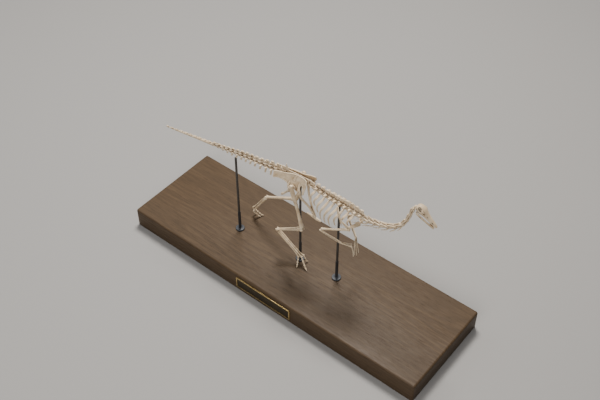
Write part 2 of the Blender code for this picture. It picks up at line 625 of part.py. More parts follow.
def head():
    """The skull with open eye and snout windows, and the slim lower jaw under it."""
    bm = bmesh.new()
    path = [Vector((x, 0, middle)) for x, wide, middle, deep in SKULL_STATIONS]
    tube(bm, path, [(wide, deep) for x, wide, middle, deep in SKULL_STATIONS], 12)
    pitch_head(bm)
    skull = add_object("skull", bm, "bone")
    for window, (x, z, radius, stretch) in enumerate(SKULL_WINDOWS):
        hole = bmesh.new()
        bmesh.ops.create_cone(hole, cap_ends=True, segments=12, radius1=radius, radius2=radius, depth=20,
                              matrix=Matrix.Translation((x, 0, z)) @ Matrix.Rotation(math.pi / 2, 4, "X"))
        bmesh.ops.scale(hole, vec=(stretch, 1, 1), verts=hole.verts, space=Matrix.Translation((-x, 0, -z)))
        pitch_head(hole)
        cutter = add_object("window_cutter_" + str(window), hole, "bone")
        cut = skull.modifiers.new("cut", "BOOLEAN")
        cut.operation = "DIFFERENCE"
        cut.solver = "EXACT"
        cut.object = cutter
        bake(skull, cutter)

    def ramus(bm, side):
        path = smooth_path([(x, side * y, z) for x, y, z in JAW], 6)
        tube(bm, path, [(0.7, 1.0), (0.8, 1.6), (0.8, 1.5), (0.8, 1.2), (0.8, 0.9), (0.8, 0.7)], 6)
        pitch_head(bm, JAW_DROP)

    fuse("lower_jaw", [lambda bm: ramus(bm, -1), lambda bm: ramus(bm, 1)])


rounded_board()
name_plate()
for rod_name in RODS:
    support_rod(rod_name)
head()
neck_length("neck_lower", NECK_BASE, 114, True)
neck_length("neck_middle", 114, 140, True)
neck_length("neck_upper", 140, 151, False)
for each_side in SIDES:
    trunk_half(each_side)
    ilium(each_side)
    leg(each_side)
    arm(each_side)
sacrum()
pubes()
ischia()
tail_length("tail_front", TAIL_DEEP, SACRUM_REAR)
tail_length("tail_middle", TAIL_THIN, TAIL_DEEP)
tail_length("tail_rear", TAIL_TIP, TAIL_THIN)
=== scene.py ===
"""The finish of a tabletop dinosaur skeleton: sculpted bones of cast resin on darkened
steel rods, over a varnished walnut board with a blank brass plate.

Bones are drawn in millimetres in the animal's own frame: +X forwards, +Y to its left and
+Z up from the top of the board. Each one is built up from simple closed shells, which are
melted together and relaxed into one surface, as a sculptor builds a bone up from clay.
"""

from math import cos, pi, radians, sin, sqrt, tan, tau

import bmesh
import bpy
import numpy as np
from mathutils import Matrix, Vector


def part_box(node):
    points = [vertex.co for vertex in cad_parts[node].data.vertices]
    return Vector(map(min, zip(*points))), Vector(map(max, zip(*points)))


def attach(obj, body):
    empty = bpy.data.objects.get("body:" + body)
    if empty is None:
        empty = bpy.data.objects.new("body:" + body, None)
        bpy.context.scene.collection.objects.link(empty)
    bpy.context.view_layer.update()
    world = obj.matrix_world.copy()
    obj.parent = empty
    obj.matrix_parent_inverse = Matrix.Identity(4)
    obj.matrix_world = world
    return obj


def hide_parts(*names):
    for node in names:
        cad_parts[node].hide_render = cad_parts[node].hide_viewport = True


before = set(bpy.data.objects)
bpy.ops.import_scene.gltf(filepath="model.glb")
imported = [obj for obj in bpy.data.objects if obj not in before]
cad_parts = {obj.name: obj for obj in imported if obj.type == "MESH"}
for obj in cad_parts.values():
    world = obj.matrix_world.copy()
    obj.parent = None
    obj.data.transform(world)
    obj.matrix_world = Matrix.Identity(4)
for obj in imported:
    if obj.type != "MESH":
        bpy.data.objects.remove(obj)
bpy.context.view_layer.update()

MM = 0.001

UP, FORWARD = Vector((0, 0, 1)), Vector((1, 0, 0))


def by_side(right, left):
    """One point for each side of the animal."""
    return {"right": Vector(right), "left": Vector(left)}


# The camera: its place, where it looks and its focal length in pixels
CAMERA_PLACE = (0.4947, -0.61155, 0.9302)
LOOK_LEFT = radians(38.82)
LOOK_DOWN = radians(45.32)
CAMERA_ROLL = radians(0.066)
FOCAL_PIXELS = 931.82
PIXELS_WIDE = 600
SENSOR_WIDTH = 36

# Lights: place, size, power and colour; all are aimed at the middle of the animal
LIGHT_TARGET = (0, 0, 0.1)
LIGHTS = {"key": ((-0.35, 0.5, 1.55), (0.45, 0.45), 42, (1, 0.955, 0.9)),
          "front": ((0.45, -1.25, 1), (0.9, 0.7), 15, (1, 0.965, 0.93)),
          "side": ((-1.2, -0.3, 0.9), (0.9, 0.9), 4, (0.96, 0.97, 1))}
WORLD_COLOUR, WORLD_STRENGTH = (0.93, 0.95, 1, 1), 0.2

# The board and how the animal stands on it
BOARD_LOW, BOARD_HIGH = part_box("base_board")
BOARD_ROUND, BOARD_FOOT_EDGE = 2.6 * MM, 0.5 * MM
TURN = radians(4.65)
SHIFT_Y = (BOARD_LOW.y + BOARD_HIGH.y) / 2 - 0.5 * MM
STAND = (Matrix.Translation((0, SHIFT_Y, BOARD_HIGH.z)) @ Matrix.Rotation(TURN, 4, "Z")
         @ Matrix.Scale(MM, 4))

# The name plate: round of its corners, its small edges, its rim and how deep its field lies
PLATE_CORNER, PLATE_EDGE, PLATE_RIM, PLATE_SINK = 0.8 * MM, 0.25 * MM, 1.2 * MM, 0.45 * MM

# Rods: place in the animal's frame and the height of the top, mm
RODS = {"rod_rear": (-93, 0, 126.9), "rod_middle": (2, 1.2, 137.5), "rod_front": (57.7, 0, 127.9)}
ROD_RADIUS = 1.5
SLEEVE_RADIUS, SLEEVE_HEIGHT = 1.9, 32
FOOT_RADIUS, FOOT_HEIGHT = 6, 2

# The backbone's centre line from the tail's tip to the skull, mm (x, z)
COLUMN = ((-203, 124.7), (-184, 126.4), (-155, 129.5), (-126, 131.9), (-99, 134.1),
          (-71, 136.9), (-41, 139.1), (-20, 141), (0, 142), (18, 140.5), (31, 137.5),
          (46, 134.2), (60, 132.6), (75, 130.4), (84, 128.8), (92, 128), (105, 129.4),
          (118, 132), (130.5, 137.7), (140, 147.4), (145.4, 158.4), (149, 172), (151.5, 181.5))
TAIL_TIP, TAIL_THIN, TAIL_DEEP, SACRUM_REAR, BACK_REAR = -203, -112, -62, -31, 23.4
NECK_BASE, NECK_MIDDLE, NECK_UPPER, NECK_TOP = 90, 114, 140, 151
TAIL_SPACING, BACK_SPACING, NECK_BASE_SPACING, NECK_SPACING = 7.4, 6.85, 8.1, 10.2
LOCKED_TAIL = -128  # behind here the tail is one stiff rod
CHEVRON_TIPS = 127.8
FIRST_RIB, LAST_RIB = 25, 84
WALK_STEPS = 400
BISECTIONS = 24

# Ribs: shares of the reach outwards, the sweep back and the drop at points along one; their sizes
RIB_CURVE = ((0.14, 0, 0.075), (0.34, 0.06, 0.05), (0.56, 0.2, -0.05), (0.79, 0.46, -0.155),
             (0.94, 0.75, -0.3), (1, 0.95, -0.49), (0.93, 1, -0.75), (0.84, 0.9, -1))
RIB_SIZES = ((0.9, 0.8), (1.3, 0.85), (1.65, 0.75), (1.75, 0.68), (1.5, 0.62), (1.2, 0.58),
             (1, 0.52), (0.85, 0.42))

# Bones of the left side or of the middle plane, as points along each one, mm
PUBIS = [(7.6, 10.2, 130.4), (10, 7.2, 119), (17, 2.4, 106), (24.5, 0.7, 91)]
PUBIC_BOOT = [(12, 0, 91.6), (20, 0, 90.6), (27, 0, 88.6), (32.5, 0, 87.6)]
ISCHIUM = [(-7.2, 10.2, 130.8), (-9.3, 7, 122.4), (-16.3, 2.2, 112), (-22.5, 0.6, 105.2)]
ISCHIAL_BOOT = [(-20, 0, 106.8), (-23.4, 0, 104.2), (-24.8, 0, 101.6)]
SACRAL_SPIKE = (Vector((-15.4, 0, 146)), Vector((-17, 0, 157.2)))
SCAPULA = {"right": ((62.8, -12.6, 140.2), (66.6, -16.4, 134.6), (71.4, -18.2, 128), (78.2, -16.6, 120.8)),
           "left": ((62.4, 14, 127.2), (66.8, 16.2, 122.6), (71.6, 16.8, 119.4), (77.8, 15.8, 117.4))}
CORACOID = {"right": ((78.6, -16, 119.2), (81.8, -12.4, 118.8), (84.4, -7.4, 118.4), (86.4, -1.3, 118)),
            "left": ((78.4, 15.2, 117), (81.6, 12.2, 117.2), (84.4, 7.4, 117.7), (86.4, 1.3, 118))}

# Limb joints, mm; one that is given once is the left one's
SIDES = {"right": -1, "left": 1}
HIP, FEMUR_HEAD, SHOULDER = (-1.6, 13.4, 136.4), (-0.9, 9, 137.2), (79.2, 14.6, 114.6)
KNEE = by_side((16.9, -17.3, 81.5), (-16.3, 19.6, 82.2))
ANKLE = by_side((-27.9, -5.9, 43.3), (-66.8, 26, 51.8))
TOE_ROOT = by_side((8, -5.4, 13.5), (-90.4, 28.9, 13.5))
ELBOW = by_side((49.3, -25.7, 108), (55.5, 25, 89.5))
WRIST = by_side((74.5, -22.5, 97), (73.5, 15, 72))
PALM = by_side((12.6, 4.4, -1.6), (0.6, 0.5, -14.5))
FINGERS = by_side((2, 1.5, -17), (2, -0.5, -17.5))
HAND_SPREAD = by_side((0.4, -0.6, 0.1), (0.2, 0.97, 0))
UPPER_ARM_STOUTNESS = {"right": 1, "left": 1.2}
KNUCKLE_SPACING = 2.3
FOOT_SPACING = 3.3
CLAW_LEVEL = 0.95
# Each foot's heading, and each toe's turn from it (degrees) and reach along the board: inner to outer
TOES = {"right": (-28, ((-65, 5.9), (0, 13.9), (45, 7.4))), "left": (35, ((5, 8.5), (0, 11), (-10, 3.5)))}
# Bones in each digit, claw included, and the fingers' lengths against the middle one
TOE_BONES = {"inner": 3, "middle": 4, "outer": 5}
FINGER_BONES = {"inner": (2, 0.82), "middle": (3, 1), "outer": (4, 0.92)}
# How each kind of digit is made: radius, radius of the claw's tip, gap behind the first bone
TOE_MAKE, FINGER_MAKE = (1.25, 0.42, 1.75), (0.82, 0.3, 0.5)
BONE_TAPER = 0.9

# Hip blade: its outline (x, z), how far it stands out and leans, and the arch of the hip socket
ILIUM_LEAN = radians(24)
ILIUM_FLARE = {"right": 0, "left": 1}  # the far blade is longer in front and turned outward there
ILIUM_LOW_OFFSET = 10.2
ILIUM_THICKNESS = 1.1
SOCKET_LEVEL = 134
SOCKET_X, SOCKET_Z, SOCKET_RADIUS = -0.6, 133.5, 3
ILIUM_FRONT_FOOT = [(11.2, 130.6), (9.6, 133.6), (8.3, 136.6), (8, 139.8), (9.3, 141.5), (10.7, 140.2),
                    (11.6, 136.2)]
ILIUM_HOOK = [(12.2, 132.4), (13.2, 130), (14.6, 131.6), (15.1, 137), (15.4, 141.7), (15.6, 145.4)]
ILIUM_CREST = [(14.9, 148.8), (10.9, 151), (5.6, 152), (-0.5, 151.9), (-6.4, 150.9), (-12, 149.2),
               (-17.8, 147.9), (-24.9, 146.5), (-31.2, 144.6)]
ILIUM_REAR = [(-30.7, 140), (-30.3, 136.2), (-29.2, 136.2), (-25.1, 137.9), (-21.5, 138.6),
              (-17.8, 138.6), (-14, 138.5), (-10.6, 137.4), (-8.8, 135.2), (-9.2, 132.6)]
# Its thickened parts: points (x, z), how far out, sizes, rings and sides
ILIUM_RIBS = (
    ([(x, z - 0.5) for x, z in ILIUM_CREST], 0, [0.75, 0.8, 0.7, 0.75, 0.85, 0.75, 0.65, 0.7, 0.7], 26, 8),
    ([(x, z + 0.5) for x, z in ILIUM_REAR[2:8]], 0, [0.65, 0.7, 0.75, 0.8, 0.85, 0.9], 14, 8),
    ([(x + 0.3, z) for x, z in ILIUM_REAR[:2]], 0, [0.7, 0.6], 4, 8),
    ([(13.9, 148), (14.2, 141.7), (13.9, 136), (13.2, 131.4)], 0,
     [(0.7, 1.3), (0.75, 1.3), (0.8, 1), 0.7], 14, 8),
    ([(7.2, 132.2), (6.6, 136.5), (6.2, 141), (7.4, 147)], 0.2,
     [(1.3, 1.9), (1.15, 1.5), (0.7, 1.6), (0.3, 1.2)], 14, 10),
    ([(10, 131.6), (9, 133.4), (7.4, 136.6)], 0.1, [0.9, 0.95, 0.9], 6, 10),
    ([(-7.4, 133.7), (-7.6, 136.6), (-6.6, 141)], 0.2, [(1.2, 1.4), (1.1, 1.5), (0.5, 1.4)], 8, 10),
    ([(-1.6, 143.4), (-1, 147), (0.5, 151)], 0.4, [(0.55, 2.2), (0.45, 1.6), (0.3, 1)], 8, 10))

# The head in its own frame, mm. Each station: x, half width, height of the middle, half depth
SKULL_JOINT = (152, 0, 183.7)
SKULL_PITCH = radians(34)
HEAD_PLACE = Matrix.Translation(SKULL_JOINT) @ Matrix.Rotation(SKULL_PITCH, 4, "Y")
NECK_KNOB = (0.9, 0, 1.5)
SKULL_STATIONS = ((0.9, 2, 4.2, 1.5), (2.1, 3.6, 4.3, 3.9), (4, 4.6, 4.2, 5.1), (6.6, 5.2, 4.5, 5.2),
                  (9.4, 5.15, 4.5, 4.8), (12.4, 4.6, 4.15, 4.05), (14.8, 3.9, 3.7, 3.55),
                  (18, 3.3, 3.3, 3.2), (23, 2.7, 2.6, 2.7), (29, 2.2, 2.1, 2.1), (32.2, 1.6, 2, 1.4),
                  (33.6, 1, 1.9, 0.8))
SKULL_WALL = 1
HOLLOW_STATIONS = SKULL_STATIONS[2:9]
# Openings through the head from side to side: place, half length, half height and tilt in degrees
SKULL_OPENINGS = (((5.5, 0, 6.1), 2.6, 2.15, 20), ((6.6, 0, 2.2), 1.5, 0.9, -12),
                  ((12.3, 0, 5.7), 1.6, 0.95, 12), ((17.6, 0, 4.9), 0.75, 0.4, 10),
                  ((26.6, 0, 3.2), 1.7, 0.5, 8))
JAW_OPENING = ((12.4, 0, -1.9), 1.3, 0.42, 2)
JAW = [(6.4, 4.4, -1.9), (11, 4.1, -1.9), (20, 2.9, -2.1), (32.6, 0.5, -3)]

# Sculpting, mm
VOXEL, FINE_VOXEL = 0.3, 0.2
LUMP_HEIGHT = 0.05
LUMPS = ((2.7, 1), (1.3, 0.6))  # size and share of each
SEAM = 0.22  # the dark line left between neighbouring bones of one cast
BODY_STOPS = (0, 0.06, 0.22, 0.5, 0.78, 0.94, 1)
BODY_HOLLOW = (0.16, 0, 0.16, 0.3, 0.16, 0, 0.16)
CROWD_CELL = 0.7  # the mesh of cells that finds crowded places, mm


# ---------------------------------------------------------------- drawing tools

def change(thing, **settings):
    """Gives a thing its settings and returns it."""
    for key, value in settings.items():
        setattr(thing, key, value)
    return thing


def on_curve(points, place):
    """A Catmull-Rom point: place 0 is the first point and len(points) - 1 the last."""
    index = max(0, min(len(points) - 2, int(place)))
    t = place - index
    p1, p2 = points[index], points[index + 1]
    p0 = points[index - 1] if index else p1 * 2 - p2
    p3 = points[index + 2] if index + 2 < len(points) else p2 * 2 - p1
    return 0.5 * (2 * p1 + (p2 - p0) * t + (2 * p0 - 5 * p1 + 4 * p2 - p3) * t * t
                  + (3 * p1 - p0 - 3 * p2 + p3) * t ** 3)


def smooth_path(points, count):
    """Evenly numbered points along a smooth curve through the given ones."""
    points = [Vector(point) for point in points]
    return [on_curve(points, (len(points) - 1) * i / (count - 1)) for i in range(count)]


def smooth_sizes(sizes, count):
    """Radii, or pairs of half width and half depth, spread evenly over more rings."""
    pairs = [(*(size if isinstance(size, tuple) else (size, size)), 0) for size in sizes]
    return [tuple(pair[:2]) for pair in smooth_path(pairs, count)]


def ramp(x, low, high, at_low, at_high):
    """A straight change from at_low to at_high between two places."""
    t = max(0, min(1, (x - low) / (high - low)))
    return at_low + (at_high - at_low) * t


def square_to(direction, bone):
    """A direction made square to a bone."""
    return (direction - bone * direction.dot(bone)).normalized()


def tube(bm, path, sizes, sides=12, across=(0, 1, 0)):
    """A closed tube through path. Each size is a radius, or half its width and depth."""
    path = [Vector(point) for point in path]
    rings = []
    for i, point in enumerate(path):
        along = (path[min(i + 1, len(path) - 1)] - path[max(i - 1, 0)]).normalized()
        wide = square_to(Vector(across), along)
        size = sizes[i] if isinstance(sizes[i], tuple) else (sizes[i], sizes[i])
        place = Matrix((wide * size[0], along.cross(wide) * size[1], along)).transposed().to_4x4()
        place.translation = point
        turn = Matrix.Rotation(pi / sides, 4, "Z")
        ring = bmesh.ops.create_circle(bm, segments=sides, radius=1, matrix=place @ turn)["verts"]
        rings.append({edge for vert in ring for edge in vert.link_edges})
    for near, far in zip(rings, rings[1:]):
        bmesh.ops.bridge_loops(bm, edges=list(near | far))
    for end in (rings[0], rings[-1]):
        bmesh.ops.edgeloop_fill(bm, edges=list(end))


def limb(bm, points, sizes, rings=12, sides=12, across=(0, 1, 0)):
    """A tube with many rings along a smooth curve through a few points."""
    tube(bm, smooth_path(points, rings), smooth_sizes(sizes, rings), sides, across)


def slat(bm, root, tip, root_size, tip_size, across=(0, 1, 0)):
    """A flat four-sided bar from root to tip; sizes are half width and half depth."""
    sizes = [tuple(value * sqrt(2) for value in size) for size in (root_size, tip_size)]
    tube(bm, [root, tip], sizes, 4, across)


def ball(bm, place, size, along=None):
    """A round or egg-shaped knob; size is a radius or three half sizes, the last one along."""
    size = size if isinstance(size, tuple) else (size, size, size)
    turn = along.to_track_quat("Z", "Y").to_matrix().to_4x4() if along else Matrix.Identity(4)
    shape = Matrix.Translation(place) @ turn @ Matrix.Diagonal((*size, 1))
    bmesh.ops.create_icosphere(bm, subdivisions=2, radius=1, matrix=shape)


def ball_pair(bm, middle, apart, size, along=None):
    """Two like knobs, one on each side of their middle."""
    for place in (middle - apart, middle + apart):
        ball(bm, place, size, along)


def between(start, end, *shares):
    """Points at the given shares of the way from start to end."""
    return [start.lerp(end, share) for share in shares]


def scaled(sizes, factor):
    return [(wide * factor, deep * factor) for wide, deep in sizes]


def to_side(points, side):
    """A point, or a list of points, of the left side taken to the given side."""
    if isinstance(points, list):
        return [to_side(point, side) for point in points]
    return Vector((points[0], side * points[1], points[2]))


def both(draw, bm, points, *rest):
    """Draws one shape on the right and on the left; its points are the left one's."""
    for side in SIDES.values():
        draw(bm, to_side(points, side), *rest)


def steps_from(origin, *axes):
    """Gives points as steps from an origin along its own axes."""
    return lambda *steps: sum((axis * step for axis, step in zip(axes, steps)), origin)


# ---------------------------------------------------------------- finishes

def feed(tree, target, inputs):
    """Links or sets a node's inputs, found by name or number; a colour is three numbers."""
    for key, value in inputs.items():
        socket = target.inputs[key]
        if isinstance(value, bpy.types.NodeSocket):
            tree.links.new(value, socket)
        else:
            socket.default_value = (*value, 1) if socket.type == "RGBA" else value


def node(tree, kind, inputs, out, **settings):
    """A shader node with its settings and inputs; returns one of its outputs."""
    made = change(tree.nodes.new(kind), **settings)
    feed(tree, made, inputs)
    return made.outputs[out]


def colour_ramp(tree, factor, *stops):
    """A ramp of colours; each stop is a place and a colour."""
    made = tree.nodes.new("ShaderNodeValToRGB")
    elements = made.color_ramp.elements
    while len(elements) < len(stops):
        elements.new(0.5)
    for element, (place, colour) in zip(elements, stops):
        change(element, position=place, color=(*colour, 1))
    feed(tree, made, {"Fac": factor})
    return made.outputs["Color"]


def value_ramp(tree, factor, low, high, at_low=0, at_high=1):
    """A number that changes smoothly from at_low to at_high as factor passes low to high."""
    inputs = {"Value": factor, "From Min": low, "From Max": high, "To Min": at_low, "To Max": at_high}
    return node(tree, "ShaderNodeMapRange", inputs, "Result", interpolation_type="SMOOTHSTEP")


def calc(tree, operation, first, second=0):
    return node(tree, "ShaderNodeMath", {0: first, 1: second}, "Value", operation=operation)


def mix_colour(tree, factor, first, second):
    return node(tree, "ShaderNodeMix", {0: factor, 6: first, 7: second}, 2, data_type="RGBA")


def object_place(tree):
    return node(tree, "ShaderNodeTexCoord", {}, "Object")


def noise(tree, place, scale, detail, roughness=0.5):
    inputs = {"Vector": place, "Scale": scale, "Detail": detail, "Roughness": roughness}
    return node(tree, "ShaderNodeTexNoise", inputs, "Fac")


def drawn_noise(tree, scale, detail, roughness=0.5):
    """Noise in object space that is drawn out along one axis: its scale is given for each axis."""
    drawn = node(tree, "ShaderNodeMapping", {"Vector": object_place(tree), "Scale": scale}, "Vector")
    return noise(tree, drawn, 1, detail, roughness)


def speckle(tree, patch_size, grain_size):
    """Soft patches and fine grain: the small unevenness that every finish has."""
    place = object_place(tree)
    return noise(tree, place, 1 / patch_size, 3, 0.6), noise(tree, place, 1 / grain_size, 4, 0.6)


def new_material(name, inputs):
    """A Principled material; returns it with its tree and shader."""
    material = bpy.data.materials.new(name)
    material.use_nodes = True
    tree = material.node_tree
    shader = tree.nodes["Principled BSDF"]
    feed(tree, shader, inputs)
    return material, tree, shader


def add_finish(tree, shader, colour, roughness, relief, depth, strength):
    """Joins the colour, the roughness and the fine relief to the shader."""
    bump = node(tree, "ShaderNodeBump", {"Height": relief, "Distance": depth, "Strength": strength}, "Normal")
    feed(tree, shader, {"Base Color": colour, "Roughness": roughness, "Normal": bump})


def resin_bone():
    """Ivory resin, with painted shade in the hollows that also stands for a thin brown wash, and painted
    highlights on the outward edges.
    """
    material, tree, shader = new_material("resin_bone", {})
    patch, grain = speckle(tree, 0.007, 0.0005)
    # hollow is painted shade in creases and crowded places, which also stands for a brown wash; edge is a
    # painted highlight on outward edges
    hollow, edge = (node(tree, "ShaderNodeAttribute", {}, "Fac", attribute_name=name)
                    for name in ("hollow", "edge"))
    ivory = colour_ramp(tree, patch, (0.3, (0.49, 0.355, 0.205)), (0.5, (0.62, 0.485, 0.32)),
                        (0.7, (0.71, 0.59, 0.425)))
    # painted shade: the hollows are darkened towards dark brown
    wash_and_painted_shade = calc(tree, "MULTIPLY", hollow, value_ramp(tree, patch, 0.25, 0.7, 1, 0.7))
    washed_and_shaded = mix_colour(tree, wash_and_painted_shade, ivory, (0.105, 0.056, 0.024))
    # painted highlight: the outward edges are made pale
    edge_highlighted = mix_colour(tree, calc(tree, "MULTIPLY", edge, 0.6), washed_and_shaded, (0.8, 0.71, 0.57))
    dusted = mix_colour(tree, value_ramp(tree, grain, 0.35, 0.75, 0, 0.22), edge_highlighted, (0.5, 0.385, 0.24))
    relief = calc(tree, "ADD", calc(tree, "MULTIPLY", grain, 0.6), patch)
    add_finish(tree, shader, dusted, value_ramp(tree, wash_and_painted_shade, 0, 0.8, 0.46, 0.68), relief, 0.0001, 0.35)
    return material


def varnished_walnut():
    """Walnut sawn from a plank: growth rings round a far centre, with fine open pores."""
    material, tree, shader = new_material(
        "varnished_walnut", {"Specular IOR Level": 0.2, "Coat Weight": 0.04, "Coat Roughness": 0.3})
    tree_heart, ring_width, wander = (0, -0.055, 0.115), 0.0042, 0.045
    drift = drawn_noise(tree, (3, 16, 16), 2)
    pores = drawn_noise(tree, (75, 1500, 1500), 3, 0.65)
    fibres = drawn_noise(tree, (26, 560, 560), 4, 0.6)
    across = node(tree, "ShaderNodeMapping",
                  {"Vector": object_place(tree), "Location": tree_heart, "Scale": (0, 1, 1)}, "Vector")
    reach = node(tree, "ShaderNodeVectorMath", {0: across}, "Value", operation="LENGTH")
    bent = calc(tree, "ADD", reach, calc(tree, "MULTIPLY", drift, wander))
    rings = calc(tree, "SINE", calc(tree, "MULTIPLY", bent, tau / ring_width))
    ground = colour_ramp(tree, fibres, (0.28, (0.05, 0.03, 0.0145)), (0.5, (0.072, 0.0445, 0.022)),
                         (0.72, (0.096, 0.061, 0.031)))
    figure = value_ramp(tree, value_ramp(tree, rings, -1, 1), 0, 1, 0, 0.42)
    figured = mix_colour(tree, figure, ground, (0.046, 0.028, 0.014))
    clouded = mix_colour(tree, value_ramp(tree, drift, 0.3, 0.7, 0, 0.5), figured, (0.066, 0.043, 0.024))
    pitted = value_ramp(tree, pores, 0.56, 0.68)
    coloured = mix_colour(tree, calc(tree, "MULTIPLY", pitted, 0.62), clouded, (0.026, 0.016, 0.01))
    relief = calc(tree, "SUBTRACT", calc(tree, "MULTIPLY", fibres, 0.3), pitted)
    add_finish(tree, shader, coloured, value_ramp(tree, pores, 0.3, 0.7, 0.48, 0.66), relief, 0.00006, 0.5)
    return material


def satin_metal(name, dark, light, rough_low, rough_high, metallic, streak=(900, 900, 60)):
    """Drawn or brushed metal: fine streaks one way, cloudy patches and small scuffs."""
    material, tree, shader = new_material(name, {"Metallic": metallic})
    patch, grain = speckle(tree, 0.012, 0.0009)
    drawn = drawn_noise(tree, streak, 3)
    tone = calc(tree, "ADD", calc(tree, "MULTIPLY", patch, 0.6), calc(tree, "MULTIPLY", drawn, 0.4))
    wear = calc(tree, "ADD", calc(tree, "MULTIPLY", grain, 0.5), calc(tree, "MULTIPLY", drawn, 0.5))
    add_finish(tree, shader, colour_ramp(tree, tone, (0.3, dark), (0.7, light)),
               value_ramp(tree, wear, 0.35, 0.65, rough_low, rough_high), drawn, 0.00002, 0.4)
    return material


BONE = resin_bone()
WALNUT = varnished_walnut()
STEEL = satin_metal("dark_steel", (0.055, 0.05, 0.045), (0.11, 0.1, 0.09), 0.34, 0.5, 0.6)
SLEEVE = satin_metal("black_sleeve", (0.012, 0.012, 0.013), (0.03, 0.03, 0.032), 0.42, 0.6, 0)
FOOT_PAINT = satin_metal("slate_paint", (0.022, 0.025, 0.031), (0.044, 0.049, 0.058), 0.48, 0.64, 0.1)
BRASS = satin_metal("satin_brass", (0.52, 0.36, 0.13), (0.78, 0.6, 0.28), 0.2, 0.34, 1, (60, 900, 900))
BRASS_FIELD = satin_metal("darkened_brass", (0.03, 0.022, 0.012), (0.075, 0.055, 0.03), 0.34, 0.5, 0.9,
                          (60, 900, 900))
FLOOR = new_material("pale_floor", {"Base Color": (0.29, 0.284, 0.275), "Roughness": 0.75})[0]


# ---------------------------------------------------------------- making pieces

def show(name, data):
    """Adds an object to the scene."""
    item = bpy.data.objects.new(name, data)
    bpy.context.scene.collection.objects.link(item)
    return item


def mesh_of(name, bm):
    """A bmesh as a finished mesh with its normals outward."""
    bmesh.ops.recalc_face_normals(bm, faces=bm.faces)
    mesh = bpy.data.meshes.new(name)
    bm.to_mesh(mesh)
    bm.free()
    return mesh


def add_piece(name, mesh, material, slot, *nodes, sharp=None):
    """Shows a finished mesh, which stands for the named solids; sharp is the angle of a hard edge."""
    mesh.materials.append(material)
    mesh.shade_smooth()
    piece = show(name, mesh)
    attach(piece, "root")
    if nodes:
        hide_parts(*nodes)
    if sharp:
        mesh.set_sharp_from_angle(angle=radians(sharp))


def read_mesh(parts, key, columns=3, kind=float):
    """One property of a mesh's parts, as a row of numbers for each part."""
    values = np.empty(len(parts) * columns, kind)
    parts.foreach_get(key, values)
    return values.reshape(-1, columns)


def spread_over(values, edges, degree, rounds):
    """Averages values with their neighbours' along the mesh's edges, several times."""
    for _ in range(rounds):
        total = np.zeros_like(values)
        for axis in range(values.shape[1]):
            total[:, axis] = (np.bincount(edges[:, 0], values[edges[:, 1], axis], len(values))
                              + np.bincount(edges[:, 1], values[edges[:, 0], axis], len(values)))
        values = 0.5 * values + 0.5 * total / degree[:, None]
    return values


def crowding(places, normals):
    """How crowded the space just outside each point of a surface is, 1 over an open flat face."""
    blur_rounds, look_out, open_share = 3, 1.6, 40
    low = places.min(0) - 4 * CROWD_CELL
    cells = ((places - low) / CROWD_CELL).astype(int)
    grid = np.zeros(cells.max(0) + 6)
    np.add.at(grid, tuple(cells.T), 1)
    for axis in range(3):
        for _ in range(blur_rounds):
            grid = (np.roll(grid, 1, axis) + 2 * grid + np.roll(grid, -1, axis)) / 4
    looks = ((places + normals * look_out * CROWD_CELL - low) / CROWD_CELL).astype(int)
    crowd = grid[tuple(np.clip(looks, 0, np.array(grid.shape) - 1).T)]
    return crowd / max(np.percentile(crowd, open_share), 1e-6)


def mark_painted_shade_and_highlight(mesh, step, shade):
    """Writes the attributes hollow and edge, 0 to 1, from how the surface curves and crowds: hollow is
    painted shade in creases and crowded places, edge a painted highlight on outward edges.

    The shade is painted shade added all over, for a piece that stands inside another."""
    near_reach, far_reach, crowd_rounds = 2.4, 7.5, 14
    places = read_mesh(mesh.vertices, "co")
    normals = read_mesh(mesh.vertex_normals, "vector")
    edges = read_mesh(mesh.edges, "vertices", 2, int)
    degree = np.maximum(np.bincount(edges.ravel(), minlength=len(places)), 1)
    near = spread_over(places, edges, degree, round(near_reach / step))
    far = spread_over(near, edges, degree, round(far_reach / step))
    fine, broad = (((smooth - places) * normals).sum(1) for smooth in (near, far))
    crowd = spread_over(crowding(places, normals).reshape(-1, 1), edges, degree, crowd_rounds).ravel()
    # hollow: painted shade from creases, broad dips and crowding, plus any shade painted over the whole piece
    signs = ((fine, 0, 0.042, 0.5), (broad, 0, 0.18, 0.6), (crowd, 1.12, 1.1, 0.75))
    hollow = shade + sum(share * np.clip((sign - start) / span, 0, 1) for sign, start, span, share in signs)
    # edge: painted highlight on sharp outward edges
    edge = np.clip((-fine - 0.03) / 0.1, 0, 1)
    for name, values in (("hollow", hollow), ("edge", edge)):
        values = spread_over(values.reshape(-1, 1), edges, degree, 1).ravel()
        mesh.attributes.new(name, "FLOAT", "POINT").data.foreach_set("value", np.clip(values, 0, 1))


def roughen(mesh):
    """Adds the low lumps of hand modelling."""
    places = read_mesh(mesh.vertices, "co")
    lumps = np.zeros(len(places))
    for size, share in LUMPS:
        x, y, z = (places * (tau / size)).T
        lumps += (share * np.sin(x + 1.7 * np.sin(0.6 * y)) * np.sin(y + 1.3 * np.sin(0.7 * z))
                  * np.sin(z + 0.8 * x))
    places += read_mesh(mesh.vertex_normals, "vector") * (LUMP_HEIGHT * lumps)[:, None]
    mesh.vertices.foreach_set("co", places.ravel())
    mesh.update()


